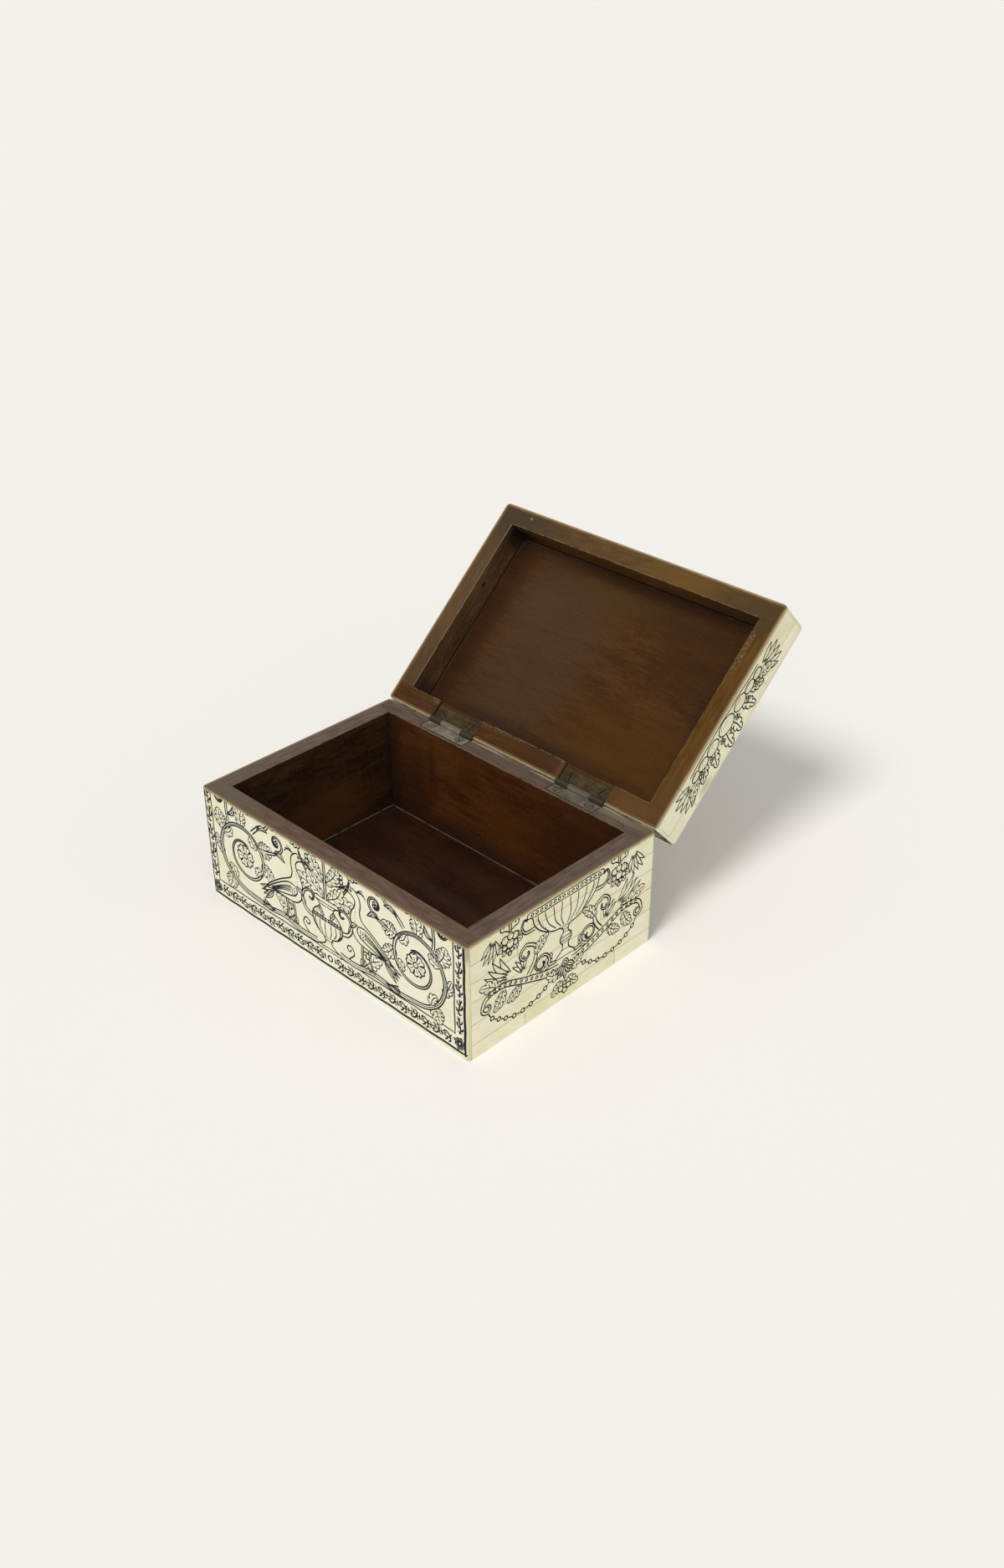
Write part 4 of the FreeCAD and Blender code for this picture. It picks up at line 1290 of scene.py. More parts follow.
def urn(pen=PEN):
    """A two-handled urn on a foot, 32 mm high, its foot's middle at the origin."""
    profile = [
        c(9, 0), c(8.6, 1.6), c(5.0, 3.0), c(2.6, 4.8), c(2.2, 6.6), c(3.4, 7.4),
        c(2.8, 8.2), c(7.2, 10.2), c(10.6, 14.2), c(11.2, 18.6), c(9.4, 22.4), c(6.4, 25.0),
        c(5.2, 27.2), c(6.2, 28.6), c(8.6, 29.6), c(9.0, 31.0), c(8.2, 31.8),
    ]
    handle = [
        c(10.0, 16.6), c(15.6, 18.4), c(18.6, 23.6), c(16.8, 29.4),
        c(12.4, 31.4), c(9.8, 29.0), c(11.2, 26.4), c(13.4, 27.6),
    ]
    bands = (
        (0, 9), (1.7, 8.2), (6.6, 2.3), (8.2, 2.6), (18.2, 11.0),
        (20.2, 10.6), (27.6, 5.0), (29.4, 8.0), (31.8, 8.0),
    )
    half = stem(handle, 2.2, 0.6, pen) + slim_leaf(c(18.2, 24.6), c(23.0, 28.6), 2.6, 0.15, pen * 0.85)
    half = mirrored(half + line(c(16.0, 20.5), c(17.0, 25.0), pen=pen * 0.7)) + hide_behind(profile)
    side = vessel(profile, bands, pen)
    for foot in (1.4, 4.2, 6.8):
        reach = foot * 1.36 + 0.4
        flute = (c(foot, 8.3 + foot * 0.3), c(reach, 11.5 + foot * 0.4), c(reach * 0.94, 17.6))
        side += line(*flute, pen=pen * 0.8)
    for number in range(5):
        side += ring(c(1.2 + number * 2.1, 19.2), 0.6, pen * 0.8, False)
    side += hatch(c(9.4, 12.6), c(10.8, 17.4), c(-1.8, -0.3), 7)
    side += hatch(c(8.6, 21.2), c(5.4, 26.2), c(-1.5, -0.3), 6)
    return half + mirrored(side + leaf(c(2.2, 21.0), c(5.4, 26.6), 2.4, -0.2, 3, pen * 0.7, False))


def fruit_dish(pen=PEN):
    """A wide dish with handles on a baluster stem, 37 mm high, its foot's middle at the origin."""
    profile = [
        c(6.8, 0), c(5.4, 2.0), c(2.6, 4.0), c(2.0, 7.0), c(3.8, 9.6), c(3.6, 12.2),
        c(1.8, 14.0), c(1.8, 15.8), c(3.2, 17.5), c(9.5, 19.4), c(16.5, 23.4), c(21.0, 28.6),
        c(22.8, 33.6), c(25.6, 34.4), c(25.8, 36.4), c(23.6, 37.2),
    ]
    handle = [c(20.4, 27.2), c(26.4, 27.4), c(29.4, 31.2), c(28.0, 35.0), c(25.6, 33.6)]
    bands = (
        (0, 6.8), (4.0, 2.3), (8.2, 2.7), (9.6, 3.5), (11.4, 3.5),
        (14.0, 1.6), (15.8, 1.6), (17.5, 3.0), (33.6, 22.6), (37.2, 23.6),
    )
    half = mirrored(stem(handle, 1.8, 0.6, pen)) + hide_behind(profile)
    side = vessel(profile, bands, pen)
    for foot, top in ((1.2, 2.8), (3.2, 8.4), (6.6, 14.0), (11.4, 18.8)):
        low_bend = c(foot, 18.2 + foot * 0.22)
        high_bend = c((foot + top) / 2 + 1.2, 23.6 + foot * 0.2)
        side += line(low_bend, high_bend, c(top, 31.0), c(top + 0.2, 33), pen=pen * 0.8)
    for number in range(8):
        side += ring(c(1.6 + number * 3.0, 35.4), 0.8, pen * 0.8, False)
    side += hatch(c(14.6, 23.2), c(20.6, 31.4), c(-2.2, -0.2), 9)
    side += hatch(c(3.4, 9.8), c(3.3, 12.2), c(-1.2, 0), 4)
    return half + mirrored(side)


print("an urn of %d strokes and a fruit dish of %d" % (len(urn()), len(fruit_dish())))

# %% Scrolls, bouquets and hanging fruit
def branches(pen):
    """Three branches above a scroll, each ending in a curl round a flower or berries."""
    strokes = []
    for root, bend, end, radius, thick, turn in (
        (c(-66, 38.5), c(-66.5, 44.5), c(-71.6, 51.0), 5.6, 1.6, -20),
        (c(-47, 40.5), c(-42.5, 45.0), c(-38.6, 54.6), 7.6, 1.9, -100),
        (c(-36.5, 34.0), c(-29.0, 36.5), c(-27.5, 43.4), 5.2, 1.5, -95),
    ):
        strokes += stem([root, bend] + spiral_points(end, radius, radius * 0.32, turn, 410), thick, 0.6, pen)
    strokes += rosette(c(-38.6, 54.4), 3.2, 5, 20, pen * 0.8)
    strokes += fruit(c(-71.6, 51.0), 1.1, 3, 30, pen) + fruit(c(-27.5, 43.4), 1.0, 3, 70, pen)
    for base, tip, bend in (
        (c(-42.6, 44.6), c(-33.8, 46.6), 0.2),
        (c(-66.4, 43.0), c(-60.4, 49.8), -0.2),
        (c(-30.0, 36.6), c(-21.5, 34.6), 0.2),
    ):
        strokes += slim_leaf(base, tip, 2.6, bend, pen)
    strokes += leaf(c(-31.5, 50.0), c(-23.5, 58.0), 6.5, 0.18, 4)
    strokes += leaf(c(-46.0, 52.0), c(-57.0, 58.5), 6.5, 0.16, 4)
    return strokes + curl(c(-46.0, 56.0), c(-50.0, 62.0), c(-54.6, 62.4), 2.6, 1, 1.1, pen)


def scroll(pen=PEN, branched=True):
    """A stem that runs left from the origin, curls clockwise round a rosette and puts out leaves."""
    centre, first, last, start_turn, sweep = c(-54, 23.5), 21.8, 7.2, -96, -560

    def shoot(turn, out, onward, width, bend, lobes, veins=True, root_share=1.0):
        """A leaf that leaves the curl at a turn, going outwards and onwards along it."""
        radius = first + (last - first) * ((turn - start_turn) / sweep) ** 0.9
        direction = cmath.rect(1, math.radians(turn))
        root = centre + direction * radius * root_share
        return leaf(root, root + direction * out - 1j * direction * onward, width, bend, lobes, veins=veins)

    strokes = []
    for shape in (
        (-128, 9.5, -3.5, 8.5, 0.12, 4), (-158, 0.5, 12.0, 5.5, 0.06, 4), (-212, 9.0, 7.0, 9.0, 0.2, 5),
        (-266, 11.5, 3.0, 8.0, 0.22, 4), (-318, 10.5, 4.0, 9.0, -0.2, 5), (-350, 8.0, 8.5, 7.5, -0.25, 4),
    ):
        strokes += shoot(*shape)
    if branched:
        strokes += branches(pen)
    strokes += leaf(c(-16, 0.6), c(-31.0, 12.5), 8.5, -0.16, 5)
    strokes += curl(c(-22, 2.0), c(-16.5, 7.2), c(-20.0, 9.6), 3.0, 1, 1.1, pen)
    strokes += curl(c(-6, 0.4), c(-10.5, 5.2), c(-7.4, 7.4), 2.8, -1, 1.1, pen)
    around = spiral_points(centre, first, last, start_turn, sweep)
    strokes += stem([c(0, 0), c(-12, -0.6), c(-24, 1.6), c(-38, 0.4)] + around, 3.0, 0.8, pen, rib=True)
    for turn, onward in ((-118, 7.5), (-205, 7.0), (-292, 6.5), (-376, 5.5)):
        strokes += shoot(turn, -0.5 * onward, onward, 5.2, -0.3, 3, False, 0.94)
    strokes += rosette(centre, 6.6, 6, 15, pen)
    for number in range(4):
        blade = (c(-33.5 + number * 0.5, 1.0), c(-41.5 - number * 0.8, 4.4 - number * 1.8))
        strokes += slim_leaf(*blade, 2.0, 0.12 - number * 0.05, pen * 0.8)
    return strokes


def bouquet(pen=PEN):
    """What stands in the urn: a tall bloom between leaves, flowers and berries."""
    half = stem([c(1.6, 0.4), c(9, 5), c(16.0, 14), c(18.5, 20.0)], 1.3, 0.8, pen)
    half += rosette(c(20.4, 26.0), 6.0, 6, 20, pen) + leaf(c(4, 0.2), c(25, 3.4), 8, 0.24, 5)
    half += slim_leaf(c(15.6, 13.4), c(24.5, 13.2), 2.6, 0.18, pen)
    half += line(c(8.5, 5.5), c(11.2, 12), c(11.6, 15.6), pen=pen) + fruit(c(11.6, 18.0), 1.6, 3, 60, pen)
    half += leaf(c(0.8, 10), c(9.5, 25), 7.0, -0.24, 5) + leaf(c(0.8, 0.6), c(12.5, 12.5), 8, -0.28, 4)
    petal = [c(0.6, 22), c(4.8, 24), c(6.2, 28.0), c(3.6, 32.2), c(0, 35)]
    bloom = line(*petal, pen=pen) + line(c(0.6, 23), c(2.4, 26.5), c(1.8, 30.4), c(0, 32.0), pen=pen)
    bloom += line(c(4.0, 23.4), c(8.4, 24.4), c(9.6, 28.0), c(7.4, 29.6), c(6.0, 28.6), pen=pen)
    bloom += hatch(c(2.9, 24.6), c(3.3, 30.4), c(1.4, 0.9), 6)
    stalk = stem([0, c(0, 14), c(0, 22)], 1.6, 1.2, pen)
    return mirrored(half) + stalk + hide_behind(petal) + mirrored(bloom)


def hanging_fruit(pen=PEN):
    """Fruit and leaves that hang from a ribbon; the ribbon's top is the origin."""
    strokes = []
    for turn, reach in ((200, 8.5), (232, 8.0), (-52, 8.0), (-18, 8.5), (165, 6.5), (15, 6.5)):
        out = cmath.rect(reach, math.radians(turn))
        strokes += leaf(c(0, -11), c(0, -11) + out, 4.6, 0.14, 3, FINE, False)
    for x, y, size in (
        (-3.0, -9.6, 2.3), (3.2, -9.4, 2.1), (0.2, -12.6, 2.5), (-3.4, -13.6, 1.5), (3.6, -13.2, 1.5),
        (0.4, -8.6, 1.9), (-1.2, -16.0, 1.2), (1.4, -16.2, 1.2), (0.1, -18.0, 1.1),
    ):
        strokes += berry(c(x, y), size, pen)
    strokes += stem([0, c(0.3, -3.4), c(0, -7.2)], 1.5, 1.1, pen)
    for side in (1, -1):
        strokes += curl(c(0, -6.0), c(side * 3.0, -4.2), c(side * 4.4, -2.2), 2.0, side, 0.9, pen)
    return strokes


def scrolled_arm(pen=PEN):
    """A beaded arm that runs left from the origin, ends in a hook and carries plumes."""
    spine = [
        c(-2, 2.6), c(-13, 4.6), c(-24, 8.4), c(-35, 12.6), c(-43, 13.8), c(-49.5, 11.6), c(-51.6, 7.0),
    ]
    hook = spiral_points(c(-48.6, 6.4), 3.2, 1.0, 170, 330)
    strokes = feathers(c(-31, 14.5), 143, 21, 44, 5, FINE, 0.08)
    strokes += feathers(c(-24, 12.0), 116, 13, 40, 4, FINE, -0.06)
    strokes += leaf(c(-40, 12.8), c(-53.5, 19.0), 7, -0.18, 4)
    volute = spiral_points(c(-23.6, 23.2), 4.9, 1.2, 78, 330)
    strokes += stem([c(-22, 10), c(-17.5, 16.5), c(-17.2, 24.0)] + volute, 2.4, 0.7, pen)
    for base, tip, width, bend in (
        (c(-17.4, 19), c(-8.6, 27.5), 5.6, 0.2),
        (c(-14, 6.4), c(-6.4, 14.5), 5.2, -0.2),
        (c(-38, 10.8), c(-44.5, 1.6), 6.4, 0.2),
        (c(-27, 7.6), c(-36.0, 2.2), 5.6, 0.16),
    ):
        strokes += leaf(base, tip, width, bend)
    strokes += stem(spine + hook, 4.4, 0.8, pen) + beads(spine[:6], 0.72, 4.6, pen * 0.85, False)
    strokes += stem([c(-3.0, 7.6)] + spiral_points(c(-13.4, 11.6), 6.2, 1.3, -30, 440), 1.6, 0.6, pen)
    swag = [c(-48.4, 3.2), c(-44, -2.6), c(-33, -7.6), c(-22, -8.2), c(-12, -5.0), c(-5.6, -0.6)]
    return strokes + beads(swag, 1.15, 4.2, pen)


def heap_of_fruit(pen=PEN):
    """Fruit, leaves and fans of feathers above a dish, about 96 mm wide, its middle at the origin."""
    fan = feathers(c(31, 4.4), 14, 18, 60, 5, FINE * 1.2, 0.05)
    strokes = mirrored(fan + leaf(c(28, 7), c(40.5, 13.2), 6.0, -0.15))
    for x, tip, width in (
        (3, 19, 7.0), (-3, 18, 7.0), (13, 16.5, 6.5), (-13, 17, 6.5), (21, 13.5, 6.0), (-21, 13, 6.0),
    ):
        strokes += leaf(c(x, 6), c(x * 1.42, tip), width, -0.1 if x > 0 else 0.1, 3, PEN, False)
    for x, wide, high in (
        (29.5, 3.6, 2.3), (-29.5, 3.8, 2.4), (22.4, 4.3, 2.8), (-22.0, 4.2, 2.7),
        (13.2, 5.0, 3.4), (-12.8, 5.2, 3.6), (0.2, 6.6, 4.4),
    ):
        turns = [step * math.pi / 4 for step in range(8)]
        outline = [c(x + wide * math.cos(turn), 4.2 + high * math.sin(turn)) for turn in turns]
        strokes += blank(*outline) + [(smooth(outline, closed=True), pen)]
        strokes += hatch(c(x - wide * 0.3, 2.0), c(x + wide * 0.5, 2.2), c(0.9, 1.5), 5)
    for x in (-17.6, -7.0, 7.4, 17.8, 26.2, -26.0):
        strokes += fruit(c(x, 8.6), 1.0, 3, 30, pen * 0.9)
    return strokes + line(c(-33, 0.4), c(-10, -0.6), c(10, -0.6), c(33, 0.4), pen=pen)


print("figures ready")

# %% [markdown]
# ## Four designs
#
# A side's design is drawn for the whole height of the closed box, so that it runs on from the case into the
# lid as on the real one, and is cut at the joint later. The front, the back and the top have the border. The
# two sides have one large ornament without a frame, and the top's scrolls lie round a wreath.
# %% Compose the faces
FRONT_WEIGHT = 1.07


def rising(strokes, start, end, rise):
    """The strokes lifted little by little from start to end, fully up to 14 mm and not above 50 mm."""
    def lifted(point):
        along = min(1, max(0, (point.real - start) / (end - start)))
        return point + 1j * rise * along * min(1, max(0, (50 - point.imag) / 36))
    return [([lifted(point) for point in points], pen) for points, pen in strokes]


def urn_between_scrolls(middle, birds):
    """The field of the front and the back: an urn with a bouquet between two scrolls and their birds."""
    strokes = placed(bouquet(), c(middle, 42.0))
    strokes += mirrored(placed(scroll(), c(86, 13.8)) + birds, middle)
    return strokes + placed(urn(), c(middle, 11.2), size=0.97)


def front_design(wide, high):
    border, middle = framed(wide, high, left=1.75, low=1.35, bands=(5.3, 6.4, 9.5, 7.6))
    strokes = rising(border, 35, 188, 1.9) + urn_between_scrolls(middle, placed(crane(), c(66, 15.8)))
    return [(points, pen and pen * FRONT_WEIGHT) for points, pen in strokes]


def back_design(wide, high):
    border, middle = framed(wide, high, right=1.9, bands=(4.7, 4.7, 9.3, 7.6))
    birds = placed(songbird(), c(64, 18.0), size=1.15) + placed(songbird(), c(50, 54.2), 8)
    return border + urn_between_scrolls(middle, birds)


def side_design(wide, high):
    middle = wide / 2
    half = placed(scrolled_arm(), c(middle - 3, 18))
    half += placed(hanging_fruit(), c(middle - 37, 65.5))
    half += feathers(c(middle - 46.5, 63), -108, 15, 50, 5, FINE, 0.06)
    half += leaf(c(middle - 2, 12), c(middle - 9.5, 6.0), 5.6, 0.18, 3)
    half += leaf(c(middle - 1.6, 17), c(middle - 12.5, 20.5), 6.5, 0.2, 4)
    strokes = mirrored(half, middle)
    strokes += placed(fruit_dish(), c(middle, 25.5)) + placed(heap_of_fruit(), c(middle + 1, 67.6))
    heart = c(middle, 21.4)
    for number in range(7):
        reach = 10.2 if number == 3 else 8.0
        strokes += slim_leaf(heart, heart + cmath.rect(reach, math.radians(20 * number - 150)), 2.8)
    strokes += ring(heart, 2.2) + ring(heart, 1.0)
    for x, y, size in ((0, 9.4, 1.1), (-2.7, 6.9, 1.7), (2.7, 6.9, 1.7), (0, 4.9, 1.6)):
        strokes += ring(c(middle + x, y), size)
    return strokes


def top_design(wide, high):
    strokes, middle = framed(wide, high, 2.6, 2.6, 2.6, 2.6, (4.4, 4.4, 8.0, 8.0))
    centre = c(middle, high / 2)
    quarter = placed(scroll(branched=False), c(-3, -47.5)) + placed(songbird(), c(-32, -44.0))
    quarter += leaf(c(-58, -4), c(-46, -16), 8, 0.16) + leaf(c(-62, -5), c(-76, -9), 7, -0.16)
    half = mirrored(quarter)
    upside_down = [([point.conjugate() for point in points], pen) for points, pen in half]
    ends = rosette(c(-60, 0), 6.4, 7, 10) + slim_leaf(c(-66, 0), c(-77, 0), 4)
    ends = mirrored(ends + slim_leaf(c(-54, 0), c(-43, 0), 4))
    ends += knot_of_leaves(c(0, -47.5), 5.5) + knot_of_leaves(c(0, 47.5), 5.5)
    strokes += placed(half + upside_down + ends, centre)
    twigs, wide_radius, high_radius = 44, 31, 35
    for number in range(twigs):
        turn = 2 * math.pi * number / twigs
        root = centre + c(wide_radius * math.cos(turn), high_radius * math.sin(turn))
        ahead = c(-wide_radius * math.sin(turn), high_radius * math.cos(turn))
        out = -1j * ahead / abs(ahead) * (2.8 if number % 2 else -2.8)
        strokes += slim_leaf(root, root + ahead / abs(ahead) * 6.6 + out, 3.0, 0.1, FINE)
    return strokes + placed(urn(), centre - c(0, 26.0)) + placed(bouquet(), centre + c(0, 5.0), size=0.72)


print("four designs ready")

# %% [markdown]
# ## Ink in the bone
#
# A face's strokes become one curve whose points carry the pen's half width as their radius. Its round
# section has four corners only, so once flattened it is a low ridge, a few hundredths of a millimetre high,
# whose middle plane is the face of the bone. Where the face turns over a rounded edge, the ridges are cut
# across into short facets and rolled over it. The ends of a stroke are thinner, as a graver leaves them.
# %% Turn strokes into ridges of ink
FLATNESS = 0.10
LIFT = 0.015 * MM
END_WIDTHS = (0.6, 0.9)
MARGIN = 0.42
ROUNDING = 1e-6
FACETS, FACET_DEGREES = 10, 9
INK, WORN_INK = (0.0165, 0.0170, 0.0200), (0.105, 0.098, 0.075)


def ink_finish(name, on_lid, shift):
    """Dull black ink, rubbed grey in patches."""
    finish = new_finish(name)
    place = closed_place(finish, on_lid)
    worn = times(finish, patchy(finish, place, 420, 0.52, 0.72, shift), 0.5)
    crumbs = noise(finish, place, 2500, detail=2, shift=shift)
    return finished(finish, blend(finish, worn, INK, WORN_INK), 0.75, 0.1, crumbs, 0.1, 0.05 * MM)


def reaches_past(face, axis, direction, line_at):
    """Whether some corner of a face lies past a line across an axis."""
    return any(direction * (vertex.co[axis] - line_at) > 0 for vertex in face.verts)


def roll_over(mesh, axis, tangent, direction, radius):
    """Bend what lies past a tangent line down round a rounded edge, after cutting it into short facets."""
    across = Vector((axis == 0, axis == 1, 0))
    for facet in range(FACETS):
        line_at = tangent + direction * radius * math.radians(FACET_DEGREES * facet)
        faces = [face for face in mesh.faces if reaches_past(face, axis, direction, line_at)]
        edges = dict.fromkeys(edge for face in faces for edge in face.edges)
        corners = dict.fromkeys(vertex for face in faces for vertex in face.verts)
        geometry = [*corners, *edges, *faces]
        cut = {"plane_co": across * line_at, "plane_no": across}
        bmesh.ops.bisect_plane(mesh, geom=geometry, dist=SAME_PLACE, **cut)
    for vertex in mesh.verts:
        past = direction * (vertex.co[axis] - tangent)
        if past > 0:
            reach = radius + vertex.co.z + LIFT * min(1, past / (30 * LIFT))
            vertex.co[axis] = tangent + direction * reach * math.sin(past / radius)
            vertex.co.z = reach * math.cos(past / radius) - radius


def swept(name, strokes):
    """The strokes as thin rods with the pens' widths, all in one mesh."""
    curve = bpy.data.curves.new(name, "CURVE")
    curve.dimensions, curve.twist_mode = "3D", "Z_UP"
    curve.bevel_depth, curve.bevel_resolution, curve.use_fill_caps = 1, 0, True
    for points, pen in strokes:
        is_closed = len(points) > 3 and abs(points[0] - points[-1]) < ROUNDING
        points = [by_hand(point) for point in (points[:-1] if is_closed else points)]
        spline = curve.splines.new("POLY")
        spline.points.add(len(points) - 1)
        spline.use_cyclic_u = is_closed
        for number, (spot, point) in enumerate(zip(spline.points, points)):
            to_end = min(number, len(points) - 1 - number)
            width = 1 if is_closed or to_end > 1 else END_WIDTHS[to_end]
            spot.co = (point.real * MM, point.imag * MM, 0, 1)
            spot.radius = pen / 2 * width * MM
    holder = bpy.data.objects.new(name + "_curve", curve)
    bpy.context.scene.collection.objects.link(holder)
    rods = bpy.data.meshes.new_from_object(holder.evaluated_get(bpy.context.evaluated_depsgraph_get()))
    mesh = bmesh.new()
    mesh.from_mesh(rods)
    bpy.data.objects.remove(holder)
    bpy.data.curves.remove(curve)
    bpy.data.meshes.remove(rods)
    return mesh


def engraving(name, strokes, face, finish, body, edges):
    """One piece for the lines on one face, rolled over the face's rounded edges."""
    mesh = swept(name, strokes)
    bmesh.ops.remove_doubles(mesh, verts=mesh.verts, dist=SAME_PLACE)
    bmesh.ops.recalc_face_normals(mesh, faces=mesh.faces)
    bmesh.ops.transform(mesh, matrix=Matrix.Diagonal((1, 1, FLATNESS, 1)), verts=mesh.verts)
    for edge in edges:
        roll_over(mesh, *edge)
    bmesh.ops.transform(mesh, matrix=face, verts=mesh.verts)
    return new_piece(name, mesh, finish, body)


def face_at(corner, across, upward):
    """The matrix that lays a drawing, x to the right and y up, on a face that starts at a corner."""
    turn = Matrix((across, upward, across.cross(upward))).transposed().to_4x4()
    return Matrix.Translation(corner) @ turn


# %% Engrave the nine faces
X, Y, Z = (Vector(ALONG[axis]) for axis in "xyz")
x_skin, y_skin = HALF_WIDTH - BONE_INSET, HALF_DEPTH - BONE_INSET
wide, deep, high = 2 * HALF_WIDTH / MM, 2 * HALF_DEPTH / MM, LID_TOP / MM
front_places = [unswing @ vertex.co for vertex in frame["nodes"]["lid_front_bone"].data.vertices]
flat_places = [place for place in front_places if place.y < ROUNDING - HALF_DEPTH]
CORNER_RADIUS = HALF_WIDTH - max(place.x for place in flat_places)
LID_EDGE_RADIUS = LID_TOP - max(place.z for place in flat_places)


def two_edges(axis, breadth, radius):
    """The rounded edges at both ends of a face: axis, tangent line, direction and radius of each."""
    inset = radius + BONE_INSET
    return [(axis, inset, -1, radius), (axis, breadth * MM - inset, 1, radius)]


lid_edge = (1, LID_TOP - BONE_INSET - LID_EDGE_RADIUS, 1, LID_EDGE_RADIUS)
print("corners rounded to %.2f mm, lid edges to %.2f mm" % (CORNER_RADIUS / MM, LID_EDGE_RADIUS / MM))
sides = {
    "front": (front_design(wide, high), wide, Vector((-HALF_WIDTH, -y_skin, 0)), X),
    "right": (side_design(deep, high), deep, Vector((x_skin, -HALF_DEPTH, 0)), Y),
    "back": (back_design(wide, high), wide, Vector((HALF_WIDTH, y_skin, 0)), -X),
    "left": (side_design(deep, high), deep, Vector((-x_skin, HALF_DEPTH, 0)), -Y),
}
case_ink = ink_finish("case_ink", False, 2)
lid_ink = ink_finish("lid_ink", True, 5)
for side, (design, breadth, corner, across) in sides.items():
    strokes = keep(layered(design), lambda point: MARGIN < point.real < breadth - MARGIN)
    below = keep(strokes, lambda point: MARGIN < point.imag < RIM / MM - MARGIN)
    above = keep(strokes, lambda point: LID_RIM / MM + MARGIN < point.imag < high - MARGIN)
    face = face_at(corner, across, Z)
    corners = two_edges(0, breadth, CORNER_RADIUS)
    engraving("base_%s_engraving" % side, below, face, case_ink, "box", corners)
    engraving("lid_%s_engraving" % side, above, swing @ face, lid_ink, "lid", corners + [lid_edge])
lid_face = face_at(Vector((-HALF_WIDTH, -HALF_DEPTH, LID_TOP - BONE_INSET)), X, Y)
lid_edges = two_edges(0, wide, LID_EDGE_RADIUS) + two_edges(1, deep, LID_EDGE_RADIUS)
engraving("lid_top_engraving", layered(top_design(wide, deep)), swing @ lid_face, lid_ink, "lid", lid_edges)
print("nine engraved faces")

# %% [markdown]
# ## Hinges and screws
#
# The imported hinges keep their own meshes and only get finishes. Old brass is dull and brown-green, so it is
# only partly metallic. Dirt gathers where a cloth can't reach: round the screw heads, in their slots, at the
# ends of a leaf and under the barrel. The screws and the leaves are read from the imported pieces.
# %% Dirt on the brass
BRASS_DIRT = (0.012, 0.010, 0.0075)
LEAF_DIRT = (0.03, 0.024, 0.016)


def packed_screws(node, on_lid):
    """The middle and the radius of each screw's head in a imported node, seen with the lid closed."""
    mesh = packed_mesh(node)
    heads = []
    for group in islands(mesh):
        places = [unswing @ vertex.co if on_lid else vertex.co for vertex in group]
        low, high = ([pick(place[axis] for place in places) for axis in range(2)] for pick in (min, max))
        heads.append(((low[0] + high[0]) / 2, (low[1] + high[1]) / 2, (high[0] - low[0]) / 2))
    mesh.free()
    return heads


def dirty_rings(heads):
    """Dark rings where the screw heads meet the leaf."""
    def edit(finish, place, paint):
        x, y, _ = split(finish, place)
        flat_place = add(finish, "CombineXYZ", X=x, Y=y).outputs[0]
        nearest = 1.0
        for centre_x, centre_y, _ in heads:
            gap = add(finish, "VectorMath", {"operation": "DISTANCE"})
            fill(finish, gap.inputs[0], flat_place)
            gap.inputs[1].default_value = (centre_x, centre_y, 0)
            nearest = maths(finish, "MINIMUM", nearest, gap.outputs["Value"])
        return blend(finish, near(finish, nearest, heads[0][2], 0.14 * MM, 0.3 * MM), paint, BRASS_DIRT)
    return edit


def dirty_slots(level):
    """Dirt in whatever lies deeper than the head's face."""
    def edit(finish, place, paint):
        at_face = near(finish, split(finish, place)[2], level, 0.06 * MM, 0.12 * MM)
        return blend(finish, at_face, BRASS_DIRT, paint)
    return edit


def dirty_ends(low, high):
    """Dirt along the two ends and the inner edge of a leaf."""
    def edit(finish, place, paint):
        x, y, _ = split(finish, place)
        from_left, from_right = maths(finish, "SUBTRACT", x, low.x), maths(finish, "SUBTRACT", high.x, x)
        from_end = maths(finish, "MINIMUM", from_left, from_right)
        from_edge = maths(finish, "MINIMUM", from_end, maths(finish, "SUBTRACT", y, low.y))
        ragged = maths(finish, "MULTIPLY", noise(finish, place, 700, detail=3), 0.9 * MM)
        dirt = ramp(finish, maths(finish, "SUBTRACT", from_edge, ragged), 0.15 * MM, -0.2 * MM)
        return blend(finish, dirt, paint, LEAF_DIRT)
    return edit


def barrel_tint(start, colour_now):
    """The barrel's own colour, from where the knuckles leave the leaf."""
    def edit(finish, place, paint):
        knuckles = ramp(finish, split(finish, place)[1], start, start + 0.3 * MM)
        return blend(finish, knuckles, paint, colour_now)
    return edit


print("dirt for the screws and the leaves")

# %% Brass finishes
KNUCKLE_START = 61.9 * MM
BRASS, TARNISH, BARREL = (0.225, 0.195, 0.140), (0.135, 0.118, 0.086), (0.128, 0.108, 0.078)
LID_BRASS, LID_TARNISH, LID_BARREL = (0.072, 0.050, 0.0130), (0.036, 0.0225, 0.0090), (0.050, 0.039, 0.029)
PIN_BRASS, PIN_TARNISH = (0.09, 0.075, 0.05), (0.05, 0.04, 0.03)
SCREW_BRASS, SCREW_TARNISH = (0.190, 0.160, 0.115), (0.105, 0.088, 0.062)
LID_SCREW_BRASS, LID_SCREW_TARNISH = (0.062, 0.044, 0.0150), (0.032, 0.021, 0.0095)


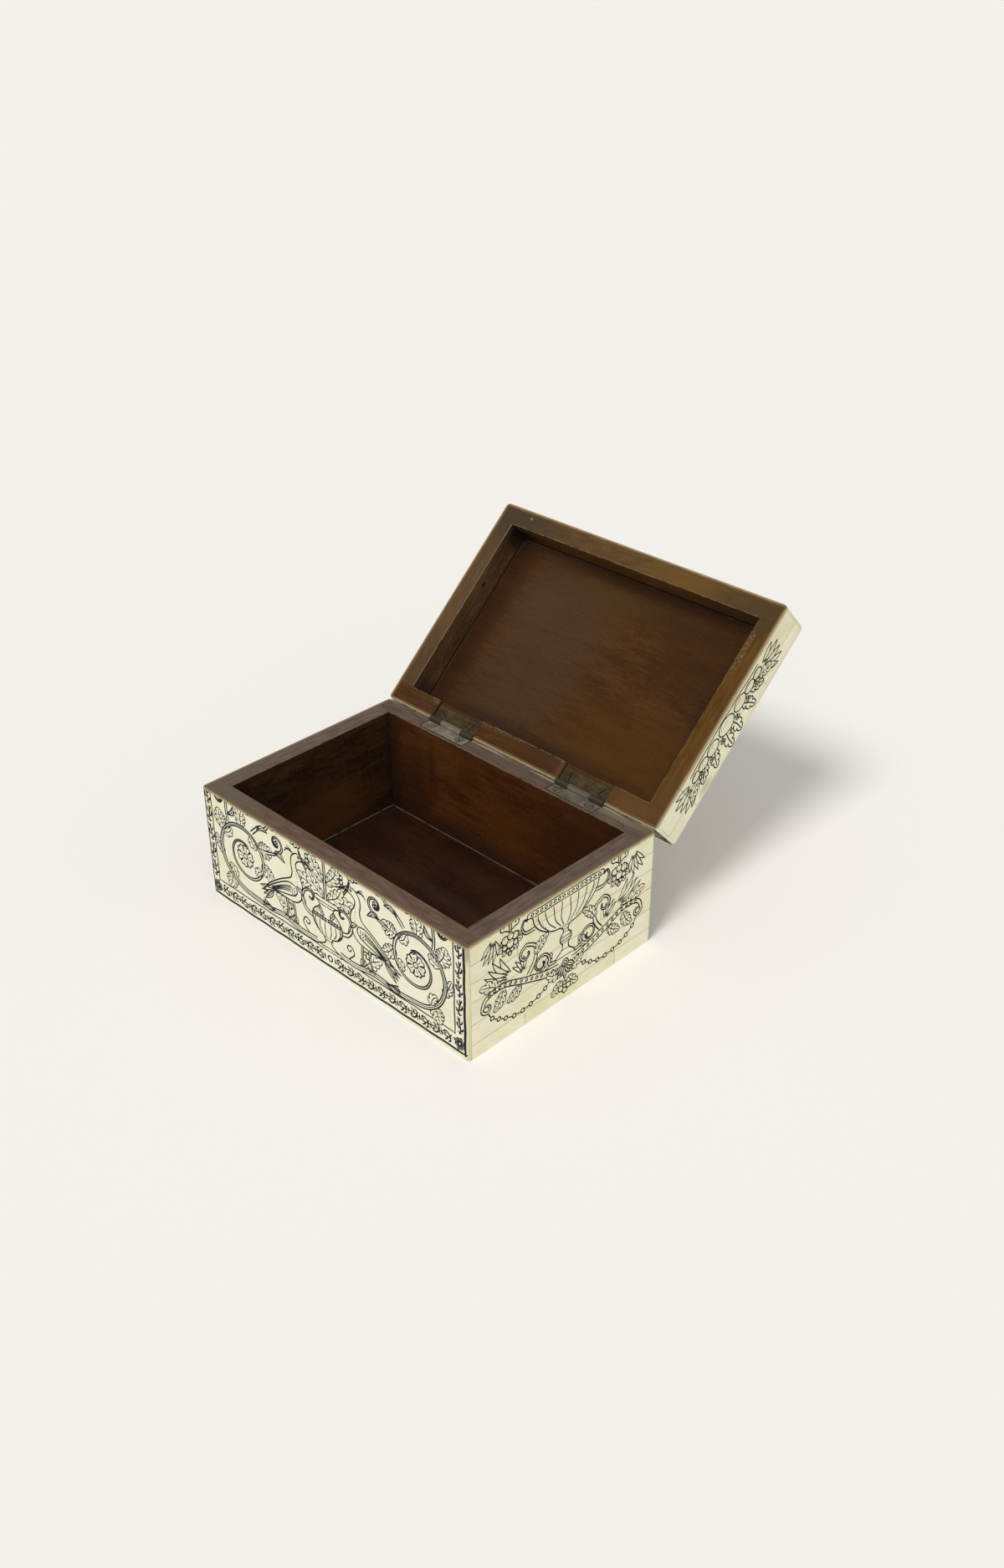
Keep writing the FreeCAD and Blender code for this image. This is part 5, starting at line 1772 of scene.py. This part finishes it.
def brass(name, bright, tarnish, on_lid=False, shift=0.0, edits=()):
    """Tarnished brass with brighter scratches along x."""
    finish = new_finish(name)
    place = closed_place(finish, on_lid)
    patches = noise(finish, place, 170, detail=5, roughness=0.6, shift=shift)
    scratches = noise(finish, place, 1500, (0.06, 1, 1), detail=3, shift=shift + 3)
    paint = blend(finish, ramp(finish, patches, 0.38, 0.66), tarnish, bright)
    scratched = times(finish, ramp(finish, scratches, 0.52, 0.68), 0.35)
    paint = blend(finish, scratched, paint, multiplied(bright, 1.5))
    for edit in edits:
        paint = edit(finish, place, paint)
    shader_of(finish).inputs["Metallic"].default_value = 0.35
    gloss = stretched(finish, patches, 0.3, 0.7, 0.62, 0.45)
    return finished(finish, paint, gloss, 0.2, scratches, 0.2, 0.05 * MM)


def refinish(node, finish):
    """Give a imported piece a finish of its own."""
    data = frame["nodes"][node].data
    data.materials.clear()
    data.materials.append(finish)


case_heads = packed_screws("base_hinge_screws", False)
lid_heads = packed_screws("lid_hinge_screws", True)
for side, worn in (("left", 1.2), ("right", 0.80)):
    base_leaf, lid_leaf, pin = ("%s_hinge_%s" % (side, part) for part in ("base_leaf", "lid_leaf", "pin"))
    bright, tarnish, barrel = (multiplied(colour_now, worn) for colour_now in (BRASS, TARNISH, BARREL))
    refinish(base_leaf, brass(base_leaf + "_brass", bright, tarnish, shift=1, edits=[
        dirty_rings(case_heads), dirty_ends(*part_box(base_leaf)), barrel_tint(KNUCKLE_START, barrel),
    ]))
    refinish(lid_leaf, brass(lid_leaf + "_brass", LID_BRASS, LID_TARNISH, True, 5, [
        dirty_rings(lid_heads), dirty_ends(*closed_box(lid_leaf)), barrel_tint(KNUCKLE_START, LID_BARREL),
    ]))
    refinish(pin, brass(pin + "_brass", PIN_BRASS, PIN_TARNISH, shift=7))
case_slots = [dirty_slots(RIM)]
case_screws = brass("case_screw_brass", SCREW_BRASS, SCREW_TARNISH, False, 9, case_slots)
lid_slots = [dirty_slots(closed_box("lid_hinge_screws")[0].z)]
lid_screws = brass("lid_screw_brass", LID_SCREW_BRASS, LID_SCREW_TARNISH, True, 4, lid_slots)
refinish("base_hinge_screws", case_screws)
refinish("lid_hinge_screws", lid_screws)
print("hinges dressed, screw heads %.1f mm across" % (2 * case_heads[0][2] / MM))
